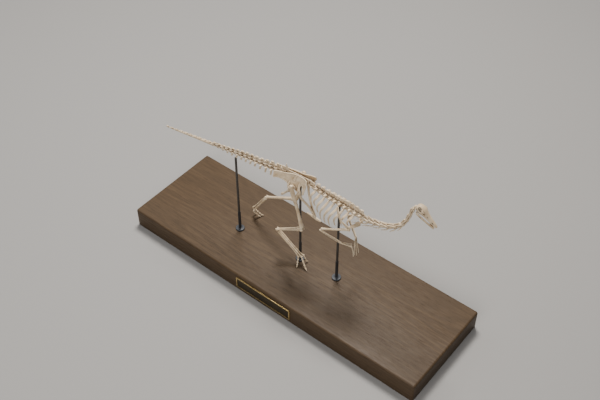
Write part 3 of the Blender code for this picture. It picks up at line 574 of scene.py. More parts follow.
def cast(name, bm, nodes=None, voxel=VOXEL, relax=3, cutter=None, into=Matrix.Identity(4), shade=0):
    """Melts closed shells into one surface and shows it as a bone; it stands for the node of its
    own name, or for the nodes given."""
    def modify(kind, **settings):
        change(clay.modifiers.new(kind.lower(), kind), **settings)

    clay = show(name + "_clay", mesh_of(name + "_clay", bm))
    if cutter:
        tool = show(name + "_cutter", mesh_of(name + "_cutter", cutter))
        modify("REMESH", mode="VOXEL", voxel_size=voxel)
        modify("BOOLEAN", operation="DIFFERENCE", solver="EXACT", use_self=True, object=tool)
    modify("REMESH", mode="VOXEL", voxel_size=voxel)
    modify("SMOOTH", factor=0.5, iterations=relax)
    bpy.context.view_layer.update()
    mesh = bpy.data.meshes.new_from_object(clay.evaluated_get(bpy.context.evaluated_depsgraph_get()))
    for used in (clay, tool) if cutter else (clay,):
        old = used.data
        bpy.data.objects.remove(used)
        bpy.data.meshes.remove(old)
    mesh.name = name + "_cast"
    mesh.transform(into)
    mark_painted_shade_and_highlight(mesh, voxel, shade)
    roughen(mesh)
    mesh.transform(STAND)
    add_piece(name + "_cast", mesh, BONE, "bone", *((name,) if nodes is None else nodes))


# ---------------------------------------------------------------- backbone

def column_at(x):
    """The backbone's centre at x."""
    points = [Vector((px, 0, pz)) for px, pz in COLUMN]
    index = max(i for i, point in enumerate(points[:-1]) if point.x <= x or i == 0)
    low, high = 0, 1
    for _ in range(BISECTIONS):
        middle = (low + high) / 2
        if on_curve(points, index + middle).x < x:
            low = middle
        else:
            high = middle
    return on_curve(points, index + low)


def column_run(x_from, x_to, spacing):
    """The joints of whole vertebrae between two places on the backbone."""
    walk = [column_at(x_from + (x_to - x_from) * i / WALK_STEPS) for i in range(WALK_STEPS + 1)]
    lengths = [0]
    for a, b in zip(walk, walk[1:]):
        lengths.append(lengths[-1] + (b - a).length)
    count = max(1, round(lengths[-1] / spacing))
    stops = [lengths[-1] * i / count for i in range(count + 1)]
    return [walk[min(range(WALK_STEPS + 1), key=lambda k: abs(lengths[k] - stop))] for stop in stops]


class Vertebra:
    """One vertebra's own axes and size, between two joints of the backbone."""

    def __init__(self, rear, front, radius, sink=0):
        self.along = (front - rear).normalized()
        self.up = Vector((-self.along.z, 0, self.along.x))
        self.length = (front - rear).length
        rear, front = rear - self.up * sink, front - self.up * sink
        self.rear = rear + self.along * SEAM / 2
        self.front = front - self.along * SEAM / 2
        self.centre = (rear + front) / 2
        self.radius = radius

    def at(self, forward=0, side=0, up=0):
        """A point: forward in lengths of the vertebra, side and up in millimetres."""
        return self.centre + self.along * forward * self.length + Vector((0, side, 0)) + self.up * up

    def body(self, bm, low=1, waist=1):
        """The drum: flared rims, a waist, and a height that may be less than its width."""
        shape = [self.radius * (1 - hollow * waist) for hollow in BODY_HOLLOW]
        tube(bm, between(self.rear, self.front, *BODY_STOPS), [(size, size * low) for size in shape], 14)

    def arch(self, bm, height, half_long=0.32):
        """The arch over the spinal cord, on the drum."""
        r = self.radius
        slat(bm, self.at(0.02, 0, 0.4 * r), self.at(-0.03, 0, height), (0.6 * r, half_long * self.length),
             (0.36 * r, half_long * 0.85 * self.length))

    def links(self, bm, height, ahead=0.58, behind=0.55, thick=0.6):
        """The paired prongs that lock a vertebra to its neighbours, front and rear."""
        r, at = self.radius, self.at
        both(limb, bm, [at(0.1, 0.4 * r, height), at(0.38, 0.7 * r, height + 0.25),
                        at(ahead, 0.74 * r, height + 0.55)], [thick * 1.1, thick, thick * 0.8], 5, 8)
        both(limb, bm, [at(-0.1, 0.3 * r, height + 0.5), at(-behind, 0.6 * r, height + 1.3)],
             [thick * 1.15, thick * 0.85], 3, 8)

    def spine(self, bm, foot, top, lean, half_long, thick, knob_long, knob_wide):
        """The tall blade on the arch, and the rounded knob along its upper edge."""
        knob_high = min(1.1, (top - foot) * 0.3)
        tip = self.at(lean, 0, top - knob_high)
        slat(bm, self.at(-0.02, 0, foot), tip, (thick, half_long), (thick * 0.85, half_long * 0.84))
        ball(bm, tip + self.up * knob_high * 0.1, (knob_wide, knob_high * 1.05, knob_long), self.along)

    def wings(self, bm, height, reach, rise, sweep, root_long, tip_long, thick=0.5):
        """The side processes, each with a thickened end."""
        for side in SIDES.values():
            end = self.at(sweep, side * (reach - 0.7), height + rise)
            slat(bm, self.at(0.02, side * 0.4 * self.radius, height), end, (root_long, thick * 1.2),
                 (tip_long, thick), self.along)
            ball(bm, end, (0.6, thick * 1.2, tip_long * 0.95), self.along)


def vertebrae(x_from, x_to, spacing, radius, sink=lambda x: 0):
    """The vertebrae between two places; radius and sink say how thick and how low each one is."""
    joints = column_run(x_from, x_to, spacing)
    made = []
    for rear, front in zip(joints, joints[1:]):
        middle = (rear.x + front.x) / 2
        made.append(Vertebra(rear, front, radius(middle), sink(middle)))
    return made


def tail_radius(x):
    """Half the thickness of the tail's vertebral bodies."""
    if x < -184:
        return ramp(x, TAIL_TIP, -184, 0.62, 1.25)
    return ramp(x, -184, -120, 1.25, 2.35) + ramp(x, -110, -40, 0, 0.9)


def chevron(bm, bone, drop):
    """The forked blade that hangs from the joint behind a vertebra."""
    root = bone.rear - bone.up * bone.radius * 0.75
    fork = root - bone.up * min(2.2, drop * 0.35) - bone.along * 0.7
    tip = bone.rear - bone.up * drop - bone.along * min(3.4, drop * 0.36)
    both(limb, bm, [root + Vector((0, 1.15, 0.4)), fork], [0.65, 0.7], 3, 8)
    limb(bm, between(fork, tip, 0, 0.55, 1), [(0.6, 1.25), (0.55, 1.5), (0.5, 1.25)], 7, 8)


def tail(name, x_from, x_to):
    """A length of tail: knobbed spines and wings towards the hips, a locked smooth rod at the tip."""
    bm = bmesh.new()
    for bone in vertebrae(x_from, x_to, TAIL_SPACING, tail_radius, lambda x: ramp(x, -150, -110, 0.3, 0)):
        x, r = bone.centre.x, bone.radius
        if x < LOCKED_TAIL:
            bone.body(bm, waist=0.3)
            bone.links(bm, 0.3 * r, 0.9, 0.5, ramp(x, TAIL_TIP, LOCKED_TAIL, 0.3, 0.6))
            bone.spine(bm, 0.3 * r, r * ramp(x, -190, LOCKED_TAIL, 1, 1.35), -0.15, 0.3 * bone.length, 0.4,
                       0.28 * bone.length, 0.5 * r)
            continue
        bone.body(bm)
        rise = ramp(x, LOCKED_TAIL, -74, 3.5, 8.9) + ramp(x, -52, -33, 0, 2.6)
        bone.arch(bm, min(rise * 0.6, r * 1.6), 0.38)
        bone.links(bm, 1.05 * r, 0.6, 0.52, ramp(x, LOCKED_TAIL, -60, 0.5, 0.75))
        bone.spine(bm, 0.9 * r, rise, -0.16, ramp(x, LOCKED_TAIL, -80, 2.2, 2.8), 0.7,
                   ramp(x, LOCKED_TAIL, -80, 1.8, 2.3), ramp(x, LOCKED_TAIL, -60, 0.8, 1.15))
        wing = ramp(x, -118, -32, 2.6, 7.6)
        if wing > 2.7:
            bone.wings(bm, 0.3 * r, wing, 0.5, -0.15, 1.6, 1.05, 0.55)
        drop = ramp(x, LOCKED_TAIL, -98, 2.2, bone.rear.z - CHEVRON_TIPS) + ramp(x, -56, -40, 0, 1.8)
        if drop > r:
            chevron(bm, bone, drop)
    cast(name, bm)


def neck_radius(x):
    """Half the thickness of the neck's vertebral bodies."""
    return ramp(x, NECK_BASE, 120, 3, 2.7) - ramp(x, 128, 148, 0, 0.9)


def atlas(bm):
    """The short ring bone between the last neck vertebra and the skull's round joint."""
    low, high = column_at(NECK_TOP), HEAD_PLACE @ Vector(NECK_KNOB)
    middle = low.lerp(high, 0.5)
    limb(bm, between(low, high, -0.2, 0.45, 0.9), [1.75, 1.4, 1.7], 9, 14)
    both(limb, bm, [middle, low.lerp(high, 0.35) + Vector((0, 2.4, 0))], [(0.6, 1), (0.45, 0.8)], 5, 8)
    limb(bm, [middle, low.lerp(high, 0.15) + Vector((-2, 0, 0.2))], [(0.7, 1), (0.45, 0.6)], 5, 8)


def neck(name, x_from, x_to, spacing):
    """A length of neck: waisted drums, swept-back spikes above and thin ribs that trail below."""
    bm = bmesh.new()
    for bone in vertebrae(x_from, x_to, spacing, neck_radius, lambda x: ramp(x, NECK_BASE, 138, 1.1, 0.3)):
        x, r, at = bone.centre.x, bone.radius, bone.at
        bone.body(bm, 1.05)
        bone.arch(bm, 1.1 * r, 0.34)
        tall = (ramp(x, NECK_BASE, 100, 9.2, 7.4) - ramp(x, 100, 112, 0, 2.4) - ramp(x, 112, 128, 0, 1.6)
                - ramp(x, 138, 149, 0, 2))
        back = ramp(x, 100, 116, 0.66, 0.52)
        limb(bm, [at(0.18, 0, 0.8 * r), at(-0.3 * back, 0, r + 0.42 * (tall - r)),
                  at(-back, 0, tall + ramp(x, 128, 142, 1.7, 0.7))],
             [(0.95, 2.2), (0.8, 1.4), (0.4, 0.4)], 9, 10)
        high = r * ramp(x, 130, 146, 1, 0.55)
        both(limb, bm, [at(0.58, 0.95 * r, 0.5 * high), at(0.28, 0.95 * r, 0.7 * high),
                        at(-0.1, 0.75 * r, 0.95 * high), at(-0.58, 0.9 * r, 1.2 * high)],
             [0.75, 0.9, 0.8, 0.65], 9, 8)
        both(limb, bm, [at(0.34, 0.5 * r, -0.3 * r), at(0.3, 1.1 * r, -0.62 * r)], [0.95, 0.75], 3, 8)
        if x < NECK_UPPER:
            long = ramp(x, 98, 108, 1.75, 0.6) * NECK_SPACING / bone.length
            deep = ramp(x, 98, 108, -10.2, -1.75 * r)
            both(limb, bm, [at(0.4, 1.05 * r, -0.6 * r), at(0.05, 1.15 * r, -1.05 * r),
                            at(-0.5 * long, 1.1 * r, ramp(x, 98, 108, 0.6, 0.8) * deep), at(-long, r, deep)],
                 [0.65, 0.72, 0.55, 0.28], 12, 8)
        else:
            both(limb, bm, [at(0.3, r, -0.5 * r), at(-0.3, 0.95 * r, -r)], [0.6, 0.3], 4, 8)
    if x_to == NECK_TOP:
        atlas(bm)
    cast(name, bm, voxel=FINE_VOXEL)


def back_vertebrae():
    """The back from the hips to the neck: drums, tall knobbed spines and strong side processes."""
    bm = bmesh.new()
    for bone in vertebrae(BACK_REAR, NECK_BASE, BACK_SPACING, lambda x: 3.1):
        x = bone.centre.x
        bone.body(bm)
        bone.arch(bm, 5, 0.36)
        bone.links(bm, 3.4, 0.6, 0.56, 0.8)
        tall = ramp(x, 26, 40, 10.2, 10.9) + ramp(x, 58, 72, 0, 1.9) - ramp(x, 80, 90, 0, 2)
        bone.spine(bm, 3.6, tall, -0.08, 2.85, 0.8, 1.9, 1.2)
        bone.wings(bm, 3.9, ramp(x, 26, 46, 5.6, 7.2) - ramp(x, 60, 86, 0, 1.2), 1.1, -0.16, 1.7, 1.15, 0.65)
    cast("back_vertebrae", bm, ("trunk_left", "trunk_right"))


def rib(bm, x, side):
    """One rib: two heads on its vertebra, a flat shaft swept back and down, and a blunt tip."""
    top = column_at(x)
    reach = side * (ramp(x, 28, 48, 8.6, 17.4) - ramp(x, 62, 86, 0, 7))
    drop = top.z - (ramp(x, 26, 50, 127, 106.8) + ramp(x, 60, 86, 0, 12))
    sweep = ramp(x, 26, 60, -3.5, -6.5) + ramp(x, 66, 88, 0, 3.5)
    guide = [top + Vector((back * sweep, out * reach, down * drop)) for out, back, down in RIB_CURVE]
    limb(bm, guide, RIB_SIZES, 24, 10, (1, 0, 0))
    limb(bm, [top + Vector((0, side * 2.2, 0.4)), top + Vector((0.06 * sweep, 0.26 * reach, 0.3)), guide[2]],
         [0.85, 0.65, 0.6], 7, 8)


def rib_side(side_name):
    """All the ribs of one side."""
    bm = bmesh.new()
    for bone in vertebrae(BACK_REAR, NECK_BASE, BACK_SPACING, lambda x: 3):
        if FIRST_RIB < bone.centre.x < LAST_RIB:
            rib(bm, bone.centre.x, SIDES[side_name])
    cast("ribs_" + side_name, bm, ("trunk_" + side_name,))


# ---------------------------------------------------------------- hips

def ilium_offset(z):
    """How far the middle of the hip blade stands from the middle plane at z."""
    return ILIUM_LOW_OFFSET - tan(ILIUM_LEAN) * (z - SOCKET_LEVEL)


def sacrum():
    """The fused hip vertebrae, their joined spines and the struts to the hip blades."""
    bm = bmesh.new()
    bones = vertebrae(SACRUM_REAR, BACK_REAR, TAIL_SPACING, lambda x: 3)
    for bone in bones:
        bone.body(bm)
        bone.arch(bm, 5.4, 0.4)
        if bone.centre.x < -18:
            bone.spine(bm, 4, 11.2, -0.1, 2.8, 0.7, 2.3, 1.1)
        else:
            bone.spine(bm, 4, 7.2, -0.05, 3.3, 0.6, 2.8, 0.8)
        width = max(2.8, ilium_offset(bone.centre.z + 3.2) - 0.8)
        both(limb, bm, [bone.at(0.25, 1.6, 1), bone.at(0.12, 0.6 * width, 2.2), bone.at(0.02, width, 3.2)],
             [(1.3, 0.9), (0.8, 0.6), (1.5, 0.8)], 6, 8, (1, 0, 0))
    roof = [bones[index].centre + UP * 5.6 for index in (1, -1)]
    slat(bm, *roof, (0.4, 2.4), (0.4, 2.4))
    limb(bm, between(*SACRAL_SPIKE, 0, 0.55, 1), [(0.8, 3), (0.7, 1.7), (0.4, 0.5)], 8, 8)
    cast("sacrum", bm)


def ilium(side_name):
    """One hip blade: a thin plate with a hooked front, a thick rim over the socket, two stout feet."""
    side = SIDES[side_name]
    socket = [(SOCKET_X + SOCKET_RADIUS * cos(turn), SOCKET_Z + SOCKET_RADIUS * sin(turn))
              for turn in map(radians, range(-15, 196, 15))]
    outline = [(5.2, 132), *socket, (-6.2, 132.8)]
    for edge in (ILIUM_REAR, ILIUM_CREST, ILIUM_HOOK, ILIUM_FRONT_FOOT):
        outline += edge[::-1]
    lean = (Matrix.Translation((0, side * ILIUM_LOW_OFFSET, SOCKET_LEVEL))
            @ Matrix.Rotation(side * ILIUM_LEAN, 4, "X") @ Matrix.Translation((0, 0, -SOCKET_LEVEL)))
    bm = bmesh.new()
    face = bm.faces.new([bm.verts.new((x, -ILIUM_THICKNESS / 2, z)) for x, z in outline])
    made = bmesh.ops.extrude_face_region(bm, geom=[face])["geom"]
    moved = [item for item in made if isinstance(item, bmesh.types.BMVert)]
    bmesh.ops.translate(bm, vec=(0, ILIUM_THICKNESS, 0), verts=moved)
    bmesh.ops.triangulate(bm, faces=[face for face in bm.faces if len(face.verts) > 4])
    hood = [0.6 + 0.25 * sin(pi * i / (len(socket) - 1)) for i in range(len(socket))]
    tube(bm, [(x, side * 0.75, z + 0.7) for x, z in socket], hood, 10)
    for points, out, sizes, rings, sides in ILIUM_RIBS:
        limb(bm, [(x, side * out, z) for x, z in points], sizes, rings, sides)
    bmesh.ops.transform(bm, matrix=lean, verts=bm.verts)
    for vert in bm.verts:
        flare = ILIUM_FLARE[side_name] * ramp(vert.co.z, 136, 142, 0, 1) * ramp(vert.co.x, 6, 15, 0, 1)
        vert.co += Vector((5.2, side * 2.3, 2.2)) * flare
    cast("ilium_" + side_name, bm)


def pubes():
    """Both pubes, joined along their lower half, with the long boot at the end."""
    bm = bmesh.new()
    both(limb, bm, PUBIS, [1.9, 1.45, 1.35, 1.15], 14, 10)
    both(ball, bm, (7.7, 10.1, 129.9), (1.9, 2, 1.4))
    limb(bm, [(17.2, 0, 105), (21, 0, 98), (24, 0, 92)], [(2, 0.45), (1.2, 0.5), (0.9, 0.8)], 6, 8)
    limb(bm, PUBIC_BOOT, [(0.75, 0.8), (1.5, 1.5), (1.6, 2.2), (1, 1.1)], 14, 12)
    cast("pubes", bm)


def ischia():
    """Both ischia, joined near the tip with a small boot."""
    bm = bmesh.new()
    both(limb, bm, ISCHIUM, [1.55, 1.2, 1.05, 0.95], 12, 10)
    both(ball, bm, (-7.3, 10.1, 130.4), (1.6, 1.7, 1.2))
    both(limb, bm, [(-8.4, 8.4, 126.5), (-6.4, 7, 122.5), (-9.2, 6.2, 120.5)],
         [(0.5, 0.9), (0.5, 1.2), (0.45, 0.7)], 6, 8)
    limb(bm, ISCHIAL_BOOT, [(1, 1.3), (1.3, 1.9), (0.9, 1.1)], 6, 10)
    cast("ischia", bm)


# ---------------------------------------------------------------- legs

def femur(side_name):
    """The thigh bone: head and neck, two trochanters, a bowed shaft and twin knee condyles."""
    side = SIDES[side_name]
    hip, head, knee = to_side(HIP, side), to_side(FEMUR_HEAD, side), KNEE[side_name]
    down = (knee - hip).normalized()
    front, out = square_to(FORWARD, down), square_to(Vector((0, side, 0)), down)
    top = hip + Vector((0, side * 0.5, 2.8))
    at_top, at_knee = steps_from(top, down, front, out), steps_from(knee, down, front, out)
    bm = bmesh.new()
    shaft = [top.lerp(knee, share) + front * bow
             for share, bow in ((0, 0), (0.2, 0.3), (0.5, 0.9), (0.8, 0.3))]
    limb(bm, shaft + [at_knee(-1.5)], [(2.5, 3.4), (2.4, 2.9), (1.95, 1.95), (2.2, 2.2), (3.4, 2.8)],
         18, 16, out)
    limb(bm, [hip, hip.lerp(head, 0.6), head - UP * 2.2], [2.7, 2.4, 2.2], 6, 12, (1, 0, 0))
    ball(bm, head - UP * 2.6, (2.5, 2.6, 2.5))
    ball(bm, top + Vector((0.7, 0, 0.9)), (2, 2.7, 1.7), down)
    limb(bm, [at_top(1.5, 2.3), at_top(5, 2.4, 0.6), at_top(9, 1.5)], [0.7, (0.8, 0.9), 0.5], 6, 8)
    limb(bm, [at_top(13, -1.4, -0.9), at_top(17.5, -2.3, -0.9), at_top(22, -1.3, -0.8)],
         [0.4, 0.8, 0.4], 8, 8)
    ball_pair(bm, at_knee(0.9, -0.5), out * 1.85, (1.95, 3, 2.5), down)
    for share in (-1, 1):
        limb(bm, [at_knee(-9, 0, share * 0.9), at_knee(-3, 0.7, share * 1.8), at_knee(0.5, 1.3, share * 1.6)],
             [0.8, 1.1, 1.1], 6, 8)
    ball(bm, at_knee(-0.6, -1.9, 2.6), (0.9, 1.1, 1.5), down)
    cast("femur_" + side_name, bm)


def shin(side_name):
    """The shin: a stout tibia with a crest in front, the ankle roller, and the thin fibula."""
    knee, ankle = KNEE[side_name], ANKLE[side_name]
    down = (ankle - knee).normalized()
    front = -square_to(FORWARD, down) if down.x > 0 else square_to(FORWARD - UP, down)
    out = square_to(Vector((0, SIDES[side_name], 0)), down)
    start = knee + down * 4.2
    at_start, at_ankle = steps_from(start, down, front, out), steps_from(ankle, down, front, out)
    bm = bmesh.new()
    limb(bm, [at_start(0.6), at_start(3), at_start(9), knee.lerp(ankle, 0.55), at_ankle(-6), at_ankle(-1.2)],
         [(2.6, 2.9), (2.8, 3.1), (1.9, 2.1), (1.65, 1.75), (1.8, 1.6), (2.5, 1.9)], 18, 16, out)
    limb(bm, [at_start(0.8, 2.2), at_start(4, 3), at_start(12, 1.6)], [(0.8, 0.9), (0.7, 1.1), (0.4, 0.5)],
         8, 8, out)
    ball_pair(bm, at_start(1.3, -1.2), out * 1.5, (1.5, 1.7, 1.5), down)
    ball_pair(bm, at_ankle(0.2), out * 1.35, (1.25, 2.3, 2.15), down)
    limb(bm, [at_ankle(-1, 1.4), at_ankle(-5, 1.55), at_ankle(-9, 1.3)], [(1.6, 0.5), (1, 0.45), 0.4],
         6, 8, out)
    calf_top, calf_end = at_start(2, 0, 2.7), at_ankle(-3.2, 0, 1.75)
    limb(bm, between(calf_top, calf_end, 0, 0.12, 0.5, 1),
         [(0.9, 1.7), (0.75, 1), (0.6, 0.62), (0.6, 0.6)], 14, 10, out)
    ball(bm, calf_top + down * 0.2, (0.95, 1.6, 1.1), down)
    cast("shin_" + side_name, bm)


def digit(name, guide, bones, make, level):
    """Separate finger or toe bones, waisted between round knuckles, and a curved claw."""
    radius, claw_radius, clear = make
    joints = smooth_path(guide, bones + 1)
    joints[0] = joints[0] + (joints[1] - joints[0]).normalized() * clear
    bm = bmesh.new()
    for index, (a, b) in enumerate(zip(joints, joints[1:])):
        along = (b - a).normalized()
        start, end = a + along * SEAM, b - along * SEAM
        wide = square_to(level, along)
        if index == bones - 1:
            lift = square_to(UP, along) if abs(along.z) < 0.95 else UP * 0
            sizes = scaled([(0.72, 0.95), (0.5, 0.72)], radius) + [claw_radius]
            limb(bm, [start, start.lerp(end, 0.45) + lift * radius * 0.35, b], sizes, 8, 10, wide)
            ball(bm, start + along * 0.4, (radius * 0.7, radius * 0.95, radius * 0.6), along)
        else:
            sizes = scaled([(1, 0.9), (0.75, 0.68), (0.66, 0.6), (0.9, 0.8)], radius)
            limb(bm, between(start, end, 0, 0.25, 0.6, 1), sizes, 9, 10, wide)
            ball_pair(bm, end - along * 0.1, wide * radius * 0.42, radius * 0.68)
        radius *= BONE_TAPER
    cast(name, bm, voxel=FINE_VOXEL, relax=2)


def foot(side_name):
    """Three long foot bones side by side, and three toes with their separate bones and claws."""
    side = SIDES[side_name]
    ankle, root = ANKLE[side_name], TOE_ROOT[side_name]
    heading, toes = TOES[side_name]
    lead = Matrix.Rotation(radians(heading), 3, "Z") @ FORWARD
    spread = Vector((-lead.y, lead.x, 0)) * side
    knuckles = [root + spread * across * FOOT_SPACING + lead * ahead
                for across, ahead in ((-1, -0.6), (0, 0.8), (1, -1.4))]
    slope = (root - ankle).normalized()
    level = square_to(spread, slope)
    bm = bmesh.new()
    for across, knuckle in zip((-1, 0, 1), knuckles):
        top = ankle + level * across * 1.25
        along = (knuckle - top).normalized()
        begin = top + along * 3.3
        end = knuckle - along * 5.5 - spread * across * 0.75
        limb(bm, [begin, begin.lerp(end, 0.3), begin.lerp(end, 0.7) - spread * across * 0.3, end, knuckle],
             [(1.3, 1.7), (1.15, 1.25), (1, 1.15), (1, 1.1), (1.25, 1.3)], 20, 10, level)
        ball_pair(bm, knuckle + along * 0.2, level * 0.62, (0.8, 1.35, 1.3), along)
    cap = ankle + slope * 3.5
    limb(bm, [cap - level * 2.4, cap, cap + level * 2.4], [(0.9, 1.5), (1, 1.7), (0.9, 1.5)], 6, 10, slope)
    cast("metatarsus_" + side_name, bm, voxel=FINE_VOXEL)

    for (name, bones), knuckle, (fan, reach) in zip(TOE_BONES.items(), knuckles, toes):
        ahead = Matrix.Rotation(radians(heading + side * fan), 3, "Z") @ FORWARD
        guide = [knuckle + ahead * reach * along - UP * (knuckle.z - CLAW_LEVEL) * fall
                 for along, fall in ((0, 0), (0.4, 0.46), (0.74, 0.84), (1, 1))]
        digit("toe_" + name + "_" + side_name, guide, bones, TOE_MAKE, Vector((-ahead.y, ahead.x, 0)))


# ---------------------------------------------------------------- arms

def shoulder_blade(side_name):
    """The strap-like shoulder blade and the rounded plate in front of the shoulder."""
    side = SIDES[side_name]
    blade, plate = SCAPULA[side_name], CORACOID[side_name]
    socket = Vector(blade[-1]) + Vector((0.2, 0, -1))
    bm = bmesh.new()
    limb(bm, blade, [(0.55, 1.7), (0.6, 1.85), (0.7, 1.5), (1.2, 1.9)], 20, 12)
    ball(bm, blade[0], (1.6, 0.8, 1.3))
    ball(bm, socket, (1.7, 1.5, 1.6))
    limb(bm, [socket + Vector((2, -side, -1.6)), socket + Vector((-0.8, 0, -1.4))], [0.75, 0.9], 4, 8)
    limb(bm, plate, [(1.5, 1.1), (1.7, 0.75), (2.5, 0.65), (3.1, 0.6)], 18, 14, (0.8, 0, -0.55))
    ball(bm, Vector(plate[-1]) + Vector((0, side * 0.6, 0)), (2.9, 1.7, 0.7), Vector((0.55, 0, 0.8)))
    cast("shoulder_blade_" + side_name, bm, voxel=FINE_VOXEL)


def upper_arm(side_name):
    """The upper arm bone: an oval head, a low crest and two small elbow condyles."""
    side, stout = SIDES[side_name], UPPER_ARM_STOUTNESS[side_name]
    shoulder = to_side(SHOULDER, side)
    hang = (ELBOW[side_name] - shoulder).normalized()
    start, end = shoulder - hang * 1.4, ELBOW[side_name] - hang * 1.2
    out = square_to(Vector((0, side, 0)), hang)
    other = hang.cross(out)
    at_start = steps_from(start, hang, other)
    bm = bmesh.new()
    limb(bm, [at_start(1), start.lerp(end, 0.2), start.lerp(end, 0.55) + out * 0.4,
              start.lerp(end, 0.85), end],
         scaled([(1.9, 1.7), (1.5, 1.5), (1.2, 1.3), (1.3, 1.45), (1.4, 1.8)], stout), 16, 12, out)
    ball(bm, at_start(0.4), (1.9, 2.4, 1.8), hang)
    limb(bm, [at_start(3, 1.3), at_start(6.5, 1.9), at_start(11, 0.9)], [0.5, 0.65, 0.4], 6, 8)
    ball_pair(bm, end, other * 0.95, (1.25, 1, 1.15), hang)
    cast("upper_arm_" + side_name, bm, voxel=FINE_VOXEL)


def forearm(side_name):
    """The two forearm bones, side by side from the elbow to the wrist."""
    side = SIDES[side_name]
    elbow, wrist = ELBOW[side_name], WRIST[side_name]
    hang = (elbow - to_side(SHOULDER, side)).normalized()
    elbow = elbow + square_to(wrist - elbow, hang) * 1.9 + hang
    fore = (wrist - elbow).normalized()
    apart = fore.cross(Vector((0, side, 0))).normalized()
    ulna, radius, end = elbow - apart * 0.5, elbow + apart * 0.7, wrist + fore * 0.2
    bm = bmesh.new()
    limb(bm, [ulna - fore * 0.6, ulna + fore * 2, ulna.lerp(end, 0.5) - apart * 0.9, end - apart * 0.8],
         [1.25, 1.2, 0.82, 1], 14, 10)
    limb(bm, [radius + fore * 0.6, radius + fore * 2.5, radius.lerp(end, 0.5) + apart * 0.9,
              end + apart * 0.8],
         [0.95, 0.8, 0.68, 0.95], 14, 10)
    ball(bm, ulna - fore * 0.5, (1.1, 1.25, 1), fore)
    cast("forearm_" + side_name, bm, voxel=FINE_VOXEL)


def hand(side_name):
    """The wrist, three palm bones, and three fingers with long claws."""
    wrist, palm, fingers = WRIST[side_name], PALM[side_name], FINGERS[side_name]
    spread, ahead = HAND_SPREAD[side_name].normalized(), palm.normalized()
    knuckles = [wrist + palm + spread * i * KNUCKLE_SPACING for i in (-1, 0, 1)]
    bm = bmesh.new()
    for across, knuckle in zip((-1, 0, 1), knuckles):
        begin = wrist + spread * across * 1.05 + ahead * 1.9
        limb(bm, between(begin, knuckle, 0, 0.2, 0.6, 1), [0.85, 0.68, 0.6, 0.85], 10, 10)
        ball_pair(bm, knuckle, spread * 0.35, 0.68)
    ball_pair(bm, wrist + ahead, spread * 0.8, (1, 1.1, 0.95), ahead)
    cast("palm_" + side_name, bm, voxel=FINE_VOXEL, relax=2)

    for (name, (bones, share)), knuckle, across in zip(FINGER_BONES.items(), knuckles, (-1.6, 0, 1.6)):
        guide = [knuckle + (fingers * reach + palm * rise) * share + spread * across * fan
                 for reach, rise, fan in ((0, 0, 0), (0.42, 0.06, 0.5), (0.74, 0.05, 1), (1, 0, 1))]
        digit("finger_" + name + "_" + side_name, guide, bones, FINGER_MAKE, spread)


# ---------------------------------------------------------------- head

def hole(bm, place, half_long, half_high, tilt=0, depth=14, turn=pi / 2):
    """An oval cutter, tilted in degrees: from side to side, or upright when turn is nought."""
    shape = (Matrix.Translation(place) @ Matrix.Rotation(radians(tilt), 4, "Y")
             @ Matrix.Rotation(turn, 4, "X") @ Matrix.Diagonal((half_long, half_high, 1, 1)))
    bmesh.ops.create_cone(bm, cap_ends=True, segments=32, radius1=1, radius2=1, depth=depth, matrix=shape)


def station_tube(bm, stations, thinner, sides):
    """A tube through stations of the head, thinner by the same amount all round."""
    tube(bm, [(x, 0, middle) for x, wide, middle, deep in stations],
         [(wide - thinner, deep - thinner) for x, wide, middle, deep in stations], sides)


def skull():
    """A light toothless skull: big eye openings, snout windows, cheek bars and a blunt beak."""
    bm, cutter = bmesh.new(), bmesh.new()
    station_tube(bm, SKULL_STATIONS, 0, 32)
    limb(bm, [(12, 0, 7.6), (20, 0, 5.7), (29, 0, 3.8)], [(1.3, 0.7), (1, 0.5), (0.8, 0.5)])
    ball(bm, NECK_KNOB, 1.25)
    slat(bm, (1.4, 0, 1.2), (3.4, 0, 3.6), (1.6, 1), (2.4, 1.6))
    both(limb, bm, [(2, 1.8, 3.6), (2.6, 4.4, 1.6)], [0.9, 0.7], 4, 8)
    both(limb, bm, [(7.6, 4, 7.6), (9.6, 4.3, 7), (11.6, 3.9, 6.6)], [0.6, 0.75, 0.6], 8, 8)
    station_tube(cutter, HOLLOW_STATIONS, SKULL_WALL, 24)
    for opening in SKULL_OPENINGS:
        hole(cutter, *opening)
    both(hole, cutter, (10.5, 1.9, -0.2), 3.4, 1.5, 0, 4, 0)
    cast("skull", bm, voxel=FINE_VOXEL, cutter=cutter, into=HEAD_PLACE)


def cheek_bars():
    """The parts that stand inside the skull's openings: brain case, eye ring, palate and jaw joints."""
    bm = bmesh.new()
    ball(bm, (4.4, 0, 4.8), (2, 2.1, 2.3), FORWARD)
    slat(bm, (6, 0, 3.6), (12, 0, 3.4), (0.35, 1.6), (0.35, 1.4))
    slat(bm, (6, 0, 0.5), (24, 0, 1.2), (1.5, 0.4), (0.8, 0.4))
    both(limb, bm, [(5.2, 4, 2.8), (5.2, 4.2, 0.4), (6.2, 4.3, -0.9)], [0.6, 0.7, 0.85], 8, 8)
    both(limb, bm, [(5.8, 4.3, 0.3), (9.4, 4.5, 1.9), (13, 3.9, 3.2)], [0.55, 0.5, 0.6], 8, 8)
    turns = [tau * i / 16 for i in range(17)]
    both(tube, bm, [(5.6 + 1.5 * cos(turn), 3.7, 6 + 1.35 * sin(turn)) for turn in turns],
         [(0.2, 0.4)] * len(turns), 8)
    # shade=0.45 paints shade over this whole piece, which stands inside the skull's openings
    cast("skull_inner_bones", bm, (), voxel=FINE_VOXEL, relax=1, into=HEAD_PLACE, shade=0.45)


